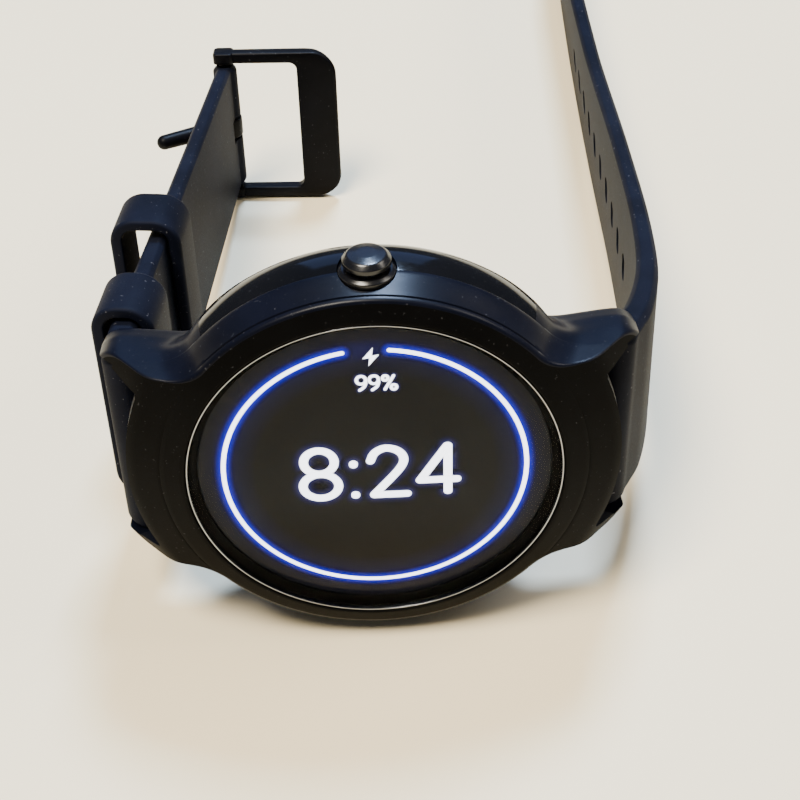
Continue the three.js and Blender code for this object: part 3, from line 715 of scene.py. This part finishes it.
white_light = glow("display_white", (0.93, 0.95, 1.0), 5.0)
blue_light = glow("display_blue", (0.01, 0.014, 1.0), 1.0)
lilac_light = glow("display_lilac", (0.2, 0.2, 1.0), 0.22)
GRAPHIC_Y = DISPLAY_FRONT - 0.04
HALO_Y = DISPLAY_FRONT - 0.02


def unit(vectors):
    return vectors / np.linalg.norm(vectors, axis=1)[:, None]


def ribbon(path, width, depth, profile, closed=False):
    """Flat stroke along a path in the dial plane: points, faces and the glow at each point."""
    path = np.asarray(path, float)
    ahead = np.roll(path, -1, 0) - path
    behind = path - np.roll(path, 1, 0)
    if not closed:
        ahead[-1], behind[0] = behind[-1], ahead[0]
    ahead = unit(ahead)
    tangent = unit(ahead + unit(behind))
    stretch = 1 / np.clip((tangent * ahead).sum(1), 0.6, 1)
    normal = np.stack([-tangent[:, 1], tangent[:, 0]], 1) * stretch[:, None]
    points, values = [], []
    for p, n in zip(path, normal):
        for share, value in profile:
            q = p + n * share * width / 2
            points.append((q[0], depth, q[1]))
            values.append(value)
    faces = grid_faces(len(path), len(profile), wrap_rows=closed, wrap_columns=False)
    if not closed:
        for end, way in ((0, -1), (len(path) - 1, 1)):
            base = math.atan2(*(way * tangent[end])[::-1])
            first = len(points)
            rings = [(s, v) for s, v in profile if s >= 0]
            turns = np.linspace(-math.pi / 2, math.pi / 2, 13)
            for share, value in rings:
                for t in turns:
                    r = share * width / 2
                    x, z = path[end] + r * np.array([math.cos(base + t), math.sin(base + t)])
                    points.append((x, depth, z))
                    values.append(value)
            faces += grid_faces(len(rings), len(turns), first, wrap_columns=False)
    return points, faces, values


SOLID = [(-1, 0.75), (-0.8, 1), (0, 1), (0.8, 1), (1, 0.75)]
FADE = [(1, 0), (0.75, 0.12), (0.5, 0.45), (0.25, 0.9)]
HALO = [(-x, value) for x, value in FADE] + [(0, 1)] + FADE[::-1]


def lit(name, strokes, width, halo_width, halo_light, closed=()):
    """Strokes of the display in white, and their halo just under them."""
    sheet(name, strokes, width, GRAPHIC_Y, SOLID, white_light, closed)
    sheet(name + "_halo", strokes, halo_width, HALO_Y, HALO, halo_light, closed)


def sheet(name, strokes, width, depth, profile, material, closed):
    """One display piece made of several strokes."""
    points, faces, values = [], [], []
    for i, path in enumerate(strokes):
        p, f, v = ribbon(path, width, depth - 0.0015 * (i % 2), profile, i in closed)
        faces += [tuple(k + len(points) for k in face) for face in f]
        points += p
        values += v
    light(name, points, faces, values, material)


def light(name, points, faces, values, material):
    """Thin lit sheet of the display, with how strongly each point glows."""
    mesh = raw_mesh(name, points, faces)
    attribute = mesh.attributes.new("glow", "FLOAT", "POINT")
    attribute.data.foreach_set("value", np.array(values, np.float32))
    obj = link(name, mesh)
    mesh.materials.append(material)
    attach(obj, "case")


def arc(cx, cz, rx, rz, start, end, count):
    """Elliptic arc in degrees, anticlockwise from the right as the wearer sees the dial."""
    t = np.radians(np.linspace(start, end, count))
    return np.stack([cx + rx * np.cos(t), cz + rz * np.sin(t)], 1)


def smooth_path(points, count):
    """Catmull-Rom curve through a few points."""
    p = past_ends(points)
    out = []
    for s in np.linspace(0, len(p) - 3 - 1e-6, count):
        i = int(s)
        t = s - i
        a, b, c, d = p[i : i + 4]
        square, cube = 2 * a - 5 * b + 4 * c - d, 3 * b - a - 3 * c + d
        out.append(0.5 * (2 * b + (c - a) * t + square * t**2 + cube * t**3))
    return np.array(out)


RING_R = 14.58
ring = arc(0, 0, RING_R, RING_R, 83.3, -259.7, 300)
lit("display_ring", [ring], 0.46, 2.0, blue_light)

eight = [arc(-5.38, 1.38, 1.47, 1.47, 0, 354, 48), arc(-5.34, -1.68, 1.72, 1.53, 0, 354, 48)]
two_hook = smooth_path([
    (-0.45, 1.3), (-0.12, 2.15), (0.5, 2.68), (1.15, 2.84), (1.95, 2.62), (2.55, 2.05), (2.75, 1.3),
    (2.5, 0.5), (1.9, -0.42), (0.85, -1.75), (-0.2, -3.02),
], 48)
two_base = np.array([(-0.2, -3.08), (3.0, -3.08)])
four = np.array([
    [(6.9, 2.85), (4.28, -1.42)], [(4.28, -1.42), (7.85, -1.42)], [(6.98, 2.85), (6.98, -2.95)],
])
colon = np.array([[(-2.1, 0.9), (-2.1, 1.02)], [(-2.02, -3.04), (-2.02, -2.94)]])
time_strokes = [*eight, two_hook, two_base, *four, *colon]
lit("display_time", time_strokes, 0.86, 2.5, lilac_light, closed=(0, 1))


def nine(x):
    bowl = arc(x, 11.15, 0.43, 0.46, 0, 352, 28)
    tail = smooth_path([(x + 0.43, 11.15), (x + 0.4, 10.7), (x + 0.22, 10.3), (x - 0.16, 9.98)], 12)
    return [bowl, tail]


percent = [
    arc(1.24, 11.3, 0.25, 0.28, 0, 350, 20),
    arc(2.02, 10.22, 0.25, 0.28, 0, 350, 20),
    np.array([(2.02, 11.55), (1.2, 9.98)]),
]
charge = [*nine(-0.98), *nine(0.2), *percent]
lit("display_charge", charge, 0.3, 1.0, lilac_light, closed=(0, 2, 4, 5))

bolt = [(0.22, 14.85), (-0.78, 13.58), (-0.12, 13.66), (-0.24, 12.75), (0.76, 14.02), (0.1, 13.94)]
light("display_bolt", [(x, GRAPHIC_Y, z) for x, z in bolt], [tuple(range(6))], np.ones(6), white_light)

# ---- crown ----

turned("crown_flange", [
    (1.5, 17.5, 0), (1.6, 17.5, 0), (1.6, 20.7, 0), (2.65, 20.7, 0.05), (2.65, 21.22, 0.14),
    (2.3, 21.45, 0.08), (1.4, 21.45, 0.04), (1.4, 19.3, 0), (0.9, 19.3, 0), (0.9, 18.7, 0), (1.5, 18.7, 0),
], crown_black, "case", "crown_collar", "black_steel", 128, 40, centre=(0, CROWN_Y), along="z")
turned("crown_button", [
    (0, 22.35, 0), (1.0, 22.35, 0), (1.0, 21.95, 0), (2.24, 21.95, 0.06),
    (2.24, 22.4, 0.12), (1.82, 22.86, 0.5), (0.9, 23.05, 0.9), (0, 23.1, 0),
], crown_black, "crown", "crown_cap", "case_shell", 128, 40, centre=(0, CROWN_Y), along="z", steps=6)

# ---- straps ----


def strap_thickness(run):
    return 1.9 + 1.6 * math.exp(-max(run, 0) / 9)


def strap_half(run):
    share = min(max(run / STRAP_TAPER, 0), 1)
    return (STRAP_WIDTH + (STRAP_END - STRAP_WIDTH) * share) / 2


def strap_profile(thickness, half):
    """Chamfered strap section, (outward, across), with softened corners."""
    t, bevel = thickness / 2, 0.22 * thickness
    soft = 0.14 * thickness
    side = half - bevel
    upper = [(t, side, soft), (t - bevel, half, soft), (-t + bevel, half, soft), (-t, side, soft)]
    return fillet(upper + [(out, -across, r) for out, across, r in reversed(upper)], 2)


def lift_at(depth):
    """Height that the tilted floor gives the long strap's lower edge."""
    soft = 1.4
    ground = -BARREL_R + (depth - BARREL_Y) * math.tan(TILT)
    sunk = ground + STRAP_END / 2
    return 0.5 * (sunk + math.hypot(sunk, soft))


def curve_points(route):
    """Centripetal Catmull-Rom curve through a route, as closely spaced points."""
    p = past_ends(route)
    out = []
    each = ROUTE_POINTS // (len(p) - 3)
    for i in range(len(p) - 3):
        a, b, c, d = p[i : i + 4]
        k = [0.0]
        for u, v in ((a, b), (b, c), (c, d)):
            k.append(k[-1] + np.linalg.norm(v - u) ** 0.5)
        for t in np.linspace(k[1], k[2], each, endpoint=i == len(p) - 4):
            def mix(u, v, s, e):
                return u * (e - t) / (e - s) + v * (t - s) / (e - s)

            ab, bc, cd = mix(a, b, k[0], k[1]), mix(b, c, k[1], k[2]), mix(c, d, k[2], k[3])
            out.append(mix(mix(ab, bc, k[0], k[2]), mix(bc, cd, k[1], k[3]), k[1], k[2]))
    return np.array(out)


def strap_sections(line, runs, halves, thicknesses, twist):
    """Sections of a strap across its centre line, at the given runs along it."""
    travelled = np.concatenate([[0], np.cumsum(np.linalg.norm(np.diff(line, axis=0), axis=1))])

    def at(distance):
        return np.array([np.interp(distance, travelled, line[:, k]) for k in range(3)])

    sections = []
    for run, half, thick in zip(runs, halves, thicknesses):
        along = min(max(run, 0), travelled[-1])
        p, q, r = at(along), at(min(along + 0.4, travelled[-1])), at(max(along - 0.4, 0))
        tangent = (q - r) / np.linalg.norm(q - r)
        p = p + tangent * (run - along)
        normal = np.array([tangent[1], -tangent[0], 0.0])
        normal /= np.linalg.norm(normal)
        section = [p + normal * out + np.array([0, 0, z]) for out, z in strap_profile(thick, half)]
        for corner in section:
            corner[0] -= (corner[2] - p[2]) * twist * max(run, 0)
        sections.append(np.array(section))
    return sections


HEAD_RUNS = [-HEAD_R * math.cos(t) for t in np.linspace(0.12, math.pi / 2, 8)[:-1]]


def round_end(radius, run):
    """Thickness of a round end, this far from its middle."""
    return 2 * math.sqrt(max(radius**2 - run**2, 0.02)) if abs(run) < radius else 0


def head_thickness(run):
    """Thickness that rounds the strap's head over its spring bar."""
    ball = round_end(HEAD_R, run)
    return max(ball, strap_thickness(run)) if run > 0.9 else ball


def strap(name, line, runs, halves, thick, twist, body, node, side):
    """One strap, bored for its spring bar and cut for the bar's release pin."""
    sections = strap_sections(line, runs, halves, thick, twist)
    obj = make(name, *tube(sections), silicone, body, node, "silicone", 40)
    return combine(obj, [
        cylinder(BAR_BORE, -14, 14, (side * BAR_X, BAR_Y), "z", 48),
        block(side * BAR_X - PIN_SLOT_HALF, side * BAR_X + PIN_SLOT_HALF, BAR_Y, BAR_Y + 4, *PIN_SLOT),
    ])


def hole_strap():
    route = [
        (BAR_X, BAR_Y), (25.3, 10.2), (26.4, 12), (28.35, 18), (29.5, 27),
        (30.2, 45), (30.5, 70), (30.8, 94), (31.1, 118),
    ]
    line = curve_points([(x, y, lift_at(y)) for x, y in route])
    length = path_length(line)
    straight = length - STRAP_TIP
    tip = [straight + STRAP_TIP * math.sin(t) for t in np.linspace(0, math.pi / 2, 20)[1:]]
    runs = HEAD_RUNS + list(np.linspace(0, straight, 170)) + tip
    halves = []
    for run in runs:
        to_end = length - run
        half = strap_half(run)
        if to_end < STRAP_TIP:
            half *= math.sqrt(1 - (0.93 * (1 - to_end / STRAP_TIP)) ** 2)
        halves.append(half)
    thick = [head_thickness(run) for run in runs]
    obj = strap("strap_long", line, runs, halves, thick, STRAP_TWIST, "strap_6", "strap_hole_side", 1)
    slots = []
    for i in range(HOLES):
        depth = FIRST_HOLE + HOLE_PITCH * i
        outline = rounded_box(depth - HOLE_HALF_WIDE, depth + HOLE_HALF_WIDE, HOLE_HALF_TALL, HOLE_ROUND, 6)
        outline[:, 1] += lift_at(depth)
        slots.append(prism(outline, 26, 34, "x"))
    combine(obj, slots)
    shade(obj.data, 40)


def buckle_strap():
    start, turn = np.array((-BAR_X, BAR_Y, 0)), np.array((TURN_X, TURN_Y, 0))
    stop = np.array((*PIVOT, 0))
    after = turn + 3 * (stop - turn) / np.linalg.norm(stop - turn)
    t = np.linspace(0, 1, 24)[:-1, None]
    line = np.vstack([bezier(start, turn, after, t), np.linspace(after, stop, 200)])
    length = path_length(line)
    tail = [length + LOOP_R * math.sin(t) for t in np.linspace(-1.2, math.pi / 2 - 0.12, 14)]
    runs = HEAD_RUNS + list(np.linspace(0, tail[0] - 0.3, 110)) + tail
    halves = [strap_half(run) for run in runs]
    thick = []
    for run in runs:
        ball = round_end(LOOP_R, run - length)
        thick.append(ball if run > length else max(head_thickness(run), ball))
    obj = strap("strap_short", line, runs, halves, thick, 0, "strap_12", "strap_buckle_side", -1)
    combine(obj, [
        cylinder(0.95, -14, 14, PIVOT, "z", 48),
        cylinder(2.7, -1.6, 1.6, PIVOT, "z", 48),
    ])
    shade(obj.data, 40)


hole_strap()
buckle_strap()

# ---- keepers ----


def keeper(name, start_run, end_run, opening, body):
    """Loop of rubber round the short strap. Its runs are measured from the strap's turn."""
    half, side, wall = 11.0, 1.25, 1.4
    inner_corner, outer_corner, edge, swell = 1.4, 3.0, 0.45, 0.06
    inset = strap_thickness(start_run + TURN_Y - BAR_Y) / 2 + GAP
    lean = math.degrees(math.atan2(BUCKLE_X - TURN_X, BUCKLE_Y - TURN_Y))

    def outline(x, z, radius):
        """Rounded rectangle, with 14 points on each side and 11 on each corner."""
        corners = rounded_box(-x, x, z, radius, 10)
        out = []
        for i, p in enumerate(corners):
            q = corners[(i + 1) % len(corners)]
            count = 14 if i % 11 == 10 else 1
            out += [p + (q - p) * k / count for k in range(count)]
        return np.array(out)

    inner = outline(opening / 2, half, inner_corner)
    outer = outline(opening / 2 + wall, half + side, outer_corner)
    inner_edge = 0.25
    profile = fillet([
        (0, start_run, inner_edge), (wall, start_run, edge), (wall, end_run, edge), (0, end_run, inner_edge),
    ], 6)
    sections = []
    for a, b in zip(inner, outer):
        section = []
        for depth, run in profile:
            full = math.sin(math.pi * (run - start_run) / (end_run - start_run))
            p = a + (b - a) * (depth / wall) * (1 - swell * (1 - full))
            section.append((TURN_X + p[0] + inset - opening / 2, TURN_Y + run, p[1]))
        sections.append(swing(np.array(section), -lean, (TURN_X, TURN_Y)))
    make(name, *loop_tube(sections), silicone, body, body, "silicone", 50)


keeper("loop_near", 1.6, 8.2, 3.8, "keeper_near")
keeper("loop_far", 17.2, 23.2, 5.0, "keeper_far")

# ---- buckle ----


def soft_block(half_x, half_y, corner, low, high, edge):
    """Rounded rectangle round the buckle's bar, extruded along Z with softened ends."""
    sections = []
    ends = [(t, low, 1) for t in (0, 30, 60, 90)] + [(t, high, -1) for t in (90, 60, 30, 0)]
    for degrees, z, way in ends:
        cut = edge * (1 - math.sin(math.radians(degrees)))
        rise = edge * (1 - math.cos(math.radians(degrees)))
        x, y = half_x - cut, half_y - cut
        outline = rounded_box(-x, x, y, corner, 5) + PIVOT
        sections.append(np.column_stack([outline, np.full(len(outline), z + way * rise)]))
    return tube(sections)


def buckle_frame():
    half, arm, reach, bar, thick = BUCKLE_HALF, BUCKLE_ARM, BUCKLE_REACH, BUCKLE_BAR, BUCKLE_THICK
    corner, inner_corner = 3.2, 1.0
    back_fall = 0.8  # the far bar's wrist side is rounded off by this much
    window = reach - bar
    outer, inner = [], []

    def straight(a, b, c, d, count):
        for t in np.linspace(0, 1, count, endpoint=False):
            outer.append((a[0] + (b[0] - a[0]) * t, a[1] + (b[1] - a[1]) * t))
            inner.append((c[0] + (d[0] - c[0]) * t, c[1] + (d[1] - c[1]) * t))

    def bend(end):
        """Corner at the lower (-1) or the upper (1) arm."""
        for t in np.linspace(0, math.pi / 2, 14):
            t = t if end < 0 else math.pi / 2 - t
            s, c = math.sin(t), math.cos(t)
            outer.append((reach - corner + corner * s, end * (tall + corner * c)))
            inner.append((window - inner_corner + inner_corner * s, end * (low + inner_corner * c)))

    root = -0.2  # the arms start just past the bar, inside their heels
    tall, low = half - corner, half - arm - inner_corner
    past, clear = reach - corner, window - inner_corner
    straight((root, -half), (past, -half), (root, arm - half), (clear, arm - half), 24)
    bend(-1)
    straight((reach, -tall), (reach, tall), (window, -low), (window, low), 24)
    bend(1)
    straight((past, half), (root, half), (clear, half - arm), (root, half - arm), 24)
    outer.append((root, half))
    inner.append((root, half - arm))

    def back(x):
        return thick / 2 - back_fall * float(smoothstep(reach - 5.5, reach, x)) ** 2

    sections = []
    for o, i in zip(outer, inner):
        o, i = np.array(o), np.array(i)
        width = float(np.linalg.norm(o - i))
        profile = fillet([
            (0, -thick / 2, 0.3), (width, -thick / 2, 0.42), (width, back(o[0]), 0.42), (0, back(i[0]), 0.3),
        ], 5)
        way = (o - i) / width
        sections.append(np.array([
            (BUCKLE_X + i[0] + way[0] * w, BUCKLE_Y + y, i[1] + way[1] * w) for w, y in profile
        ]))
    points, faces = tube(sections)
    points = swing(points, BUCKLE_LEAN, PIVOT)
    obj = make("buckle_loop", points, faces, buckle_black, "buckle", "buckle_frame", "black_steel", 40)
    for end in (-1, 1):
        z0, z1 = sorted((end * (half - arm), end * half))
        points, faces = soft_block(BUCKLE_HEEL, BUCKLE_ARM_END, 0.45, z0, z1, 0.2)
        combine(obj, [(swing(points, BUCKLE_LEAN, PIVOT), faces)], "UNION")
    for low_end, high_end in ((-10.1, -8), (8, 10.1)):
        combine(obj, [cylinder(0.85, low_end, high_end, PIVOT, "z", 40)])
    shade(obj.data, 40)


def tongue():
    length, radius, tip, eye, half, rest = 9.2, 1.05, 0.95, 1.6, 1.3, 205.5
    end = [length + tip * math.sin(t) for t in np.linspace(0, 1.45, 9)[1:]]
    runs = list(np.linspace(eye - 0.4, length, 30)) + end
    sections = []
    for run in runs:
        if run <= length:
            r = radius + (tip - radius) * (run - eye) / (length - eye)
        else:
            r = math.sqrt(tip**2 - (run - length) ** 2)
        ring_points = [(BUCKLE_X + run, BUCKLE_Y + r * math.cos(a), r * math.sin(a)) for a in around(32)]
        sections.append(swing(np.array(ring_points), rest, PIVOT))
    obj = make("tongue_pin", *tube(sections), buckle_black, "tongue", "buckle_tongue", "black_steel", 40)
    combine(obj, [soft_block(eye, eye, eye - 0.02, -half, half, 0.25)], "UNION")
    combine(obj, [cylinder(0.95, -3, 3, PIVOT, "z", 40)])
    shade(obj.data, 40)


buckle_frame()
tongue()

# ---- wrist side ----

angles = [math.radians(a) for a in SCREW_ANGLES]
screw_places = [(SCREW_RING * math.cos(a), SCREW_RING * math.sin(a)) for a in angles]
contact_places = [((i - 1.5) * CONTACT_PITCH, CONTACT_Z) for i in range(4)]


def back_cover():
    obj = turned("back_cover", [
        (6.3, 10.2, 0), (7.2, 10.2, 0), (7.2, 11.1, 0), (13.2, 11.1, 0), (13.2, 10.6, 0), (16.9, 10.6, 0),
        (16.9, 11.2, 0), (18.8, 11.2, 0.05), (18.8, 11.45, 0.1), (17.4, 11.9, 0.8), (12, 12.3, 2.0),
        (7.0, 12.4, 0.2), (6.3, 12.2, 0.08),
    ], back_plastic, "case", "case_back", "black_matte", 256, 35)
    shapes = []
    for at in screw_places:
        shapes.append(cylinder(1.0, 9, 14, at, "y", 32))
        shapes.append(cylinder(1.65, 11.25, 14, at, "y", 48))
    for at in contact_places:
        shapes.append(cylinder(1.0, 9, 14, at, "y", 40))
    combine(obj, shapes)
    shade(obj.data, 35)


back_cover()
turned("sensor_dome", [
    (0, 11.4, 0), (6.0, 11.4, 0.05), (6.0, 12.5, 0.15), (4.4, 12.8, 1.5), (2.2, 12.9, 1.5), (0, 12.9, 0),
], gloss, "case", "sensor_window", "cover_glass", 160)
for i, at in enumerate(contact_places, 1):
    turned(f"contact_pad_{i}", [
        (0, 10.7, 0), (0.8, 10.7, 0.02), (0.8, 12.3, 0.1), (0.5, 12.4, 0.3), (0, 12.4, 0),
    ], gold, "case", f"charging_contact_{i}", "gold_contact", 48, centre=at)
for i, at in enumerate(screw_places, 1):
    head = turned(f"screw_{i}", [
        (0, 7.6, 0), (0.7, 7.6, 0.1), (0.7, 11.55, 0), (1.35, 11.55, 0.05), (1.35, 12.0, 0.15), (0, 12.0, 0),
    ], steel, "case", f"case_back_screw_{i}", "steel", 48, centre=at)
    x, z = at
    combine(head, [
        block(x - 0.8, x + 0.8, 11.75, 13, z - 0.14, z + 0.14),
        block(x - 0.14, x + 0.14, 11.75, 13, z - 0.8, z + 0.8),
    ])
    shade(head.data, 35)

# ---- carried-over CAD ----


def carry(nodes, material):
    for name in nodes:
        obj = frame["nodes"][name]
        if not obj.material_slots:
            obj.data.materials.append(material)
        for slot in obj.material_slots:
            slot.material = material


circuit = moulded("circuit_board", (0.01, 0.05, 0.03), (0.015, 0.09, 0.05), (0.35, 0.5), 3000, 0.2)
cell = moulded("battery_wrap", (0.02, 0.022, 0.03), (0.035, 0.036, 0.045), (0.3, 0.45), 1500, 0.2)
film = moulded("flex_film", (0.35, 0.16, 0.03), (0.45, 0.2, 0.04), (0.3, 0.45), 1500, 0.1)
chassis = moulded("chassis_plastic", (0.015, 0.016, 0.02), (0.025, 0.026, 0.03), (0.45, 0.6), 4000, 0.2)
plating = metal("magnet_plating", (0.4, 0.41, 0.43), (0.25, 0.4), 0.05)
spring_steel = metal("spring_steel", (0.5, 0.51, 0.54), (0.2, 0.35), 0.1, (1, 1, 1))

both = ("12", "6")
carry(["main_board", "sensor_board"], circuit)
carry(["battery"], cell)
carry(["display_flex", "antenna"], film)
carry(["mid_frame", "side_switch"], chassis)
carry(["dock_magnet_1", "dock_magnet_2"], plating)
carry(["back_gasket", "crown_o_ring"], rubber)
carry(["shield_can_processor", "shield_can_radio", "vibration_motor", "microphone"], steel)
carry(["crown_stem", "crown_clip", "switch_plunger"], steel)
carry(["buckle_bar"], buckle_black)
carry(["crown_spring", *(f"spring_bar_spring_{k}" for k in both)], spring_steel)
for part in ("spring_bar_tube", "spring_bar_fixed_pin", "quick_release_pin"):
    carry([f"{part}_{k}" for k in both], steel)

# ---- floor and light ----


def floor():
    n = Nodes("floor")
    drift = n.noise(6, 4, 0.5)
    n.colour(drift, [(0.3, (0.90, 0.77, 0.51)), (0.7, (0.95, 0.82, 0.56))])
    n.put(Roughness=0.55, Specular_IOR_Level=0.3)
    size = 3000
    corners = [(-size, -size, 0), (size, -size, 0), (size, size, 0), (-size, size, 0)]
    mesh = raw_mesh("floor", corners, [(0, 1, 2, 3)])
    mesh.materials.append(n.material)
    new_object("floor", mesh)


def area_light(name, position, target, size, power, colour, size_y=None):
    data = bpy.data.lights.new(name, "AREA")
    data.shape = "RECTANGLE"
    data.size, data.size_y = size, size_y or size
    data.energy, data.color = power, colour
    obj = new_object(name, data)
    obj.location = position
    obj.rotation_mode = "QUATERNION"
    obj.rotation_quaternion = (Vector(target) - Vector(position)).to_track_quat("-Z", "Y")


floor()
area_light("key", (-0.3, -0.2, 1.1), (0, 0, 0), 0.4, 27.0, (1.0, 0.91, 0.76))
area_light("fill", (0.75, 0.1, 0.75), (0, 0, 0.02), 0.4, 4.5, (1.0, 0.92, 0.8))
area_light("sky_panel", (0.0, 0.75, 0.5), (0, 0, 0.02), 0.7, 1.1, (0.25, 0.42, 1.0), 0.5)
area_light("glint", (0.07, 0.29, 0.6), (0, 0, 0.04), 0.12, 9.0, (0.5, 0.68, 1.0))

world = bpy.data.worlds.new("studio")
world.use_nodes = True
background = world.node_tree.nodes["Background"]
background.inputs["Color"].default_value = (0.8, 0.87, 1.0, 1)
background.inputs["Strength"].default_value = 0.12
bpy.context.scene.world = world

# ---- camera ----

# The camera stands 149 mm from the dial's centre, 41.8 degrees above the watch's
# axis, and is aimed a little off the dial's centre. The aim is a rotation vector.
CAMERA_SIDE, CAMERA_AWAY, CAMERA_RISE = 0.0236, 149.13, math.radians(41.763)
CAMERA_AIM = (-0.050476, 0.01658, 0.043072)
SENSOR, FOCAL_PIXELS, IMAGE_PIXELS = 36, 1556.4, 800

eye = Vector((CAMERA_SIDE, -CAMERA_AWAY * math.cos(CAMERA_RISE), CAMERA_AWAY * math.sin(CAMERA_RISE)))
back = eye.normalized()
right = (-back).cross(Vector((0, 0, 1))).normalized()
up = right.cross(-back)
basis = Matrix((right, up, back)).transposed()
turn = Vector(CAMERA_AIM)
nudge = Matrix.Rotation(turn.length, 3, turn.normalized()).transposed()
lens = bpy.data.cameras.new("camera")
lens.sensor_width, lens.lens = SENSOR, SENSOR * FOCAL_PIXELS / IMAGE_PIXELS
lens.clip_start, lens.clip_end = 0.005, 20
camera = new_object("camera", lens)
camera.matrix_world = WATCH @ Matrix.Translation(eye * MM) @ (basis @ nudge).to_4x4()
bpy.context.scene.camera = camera
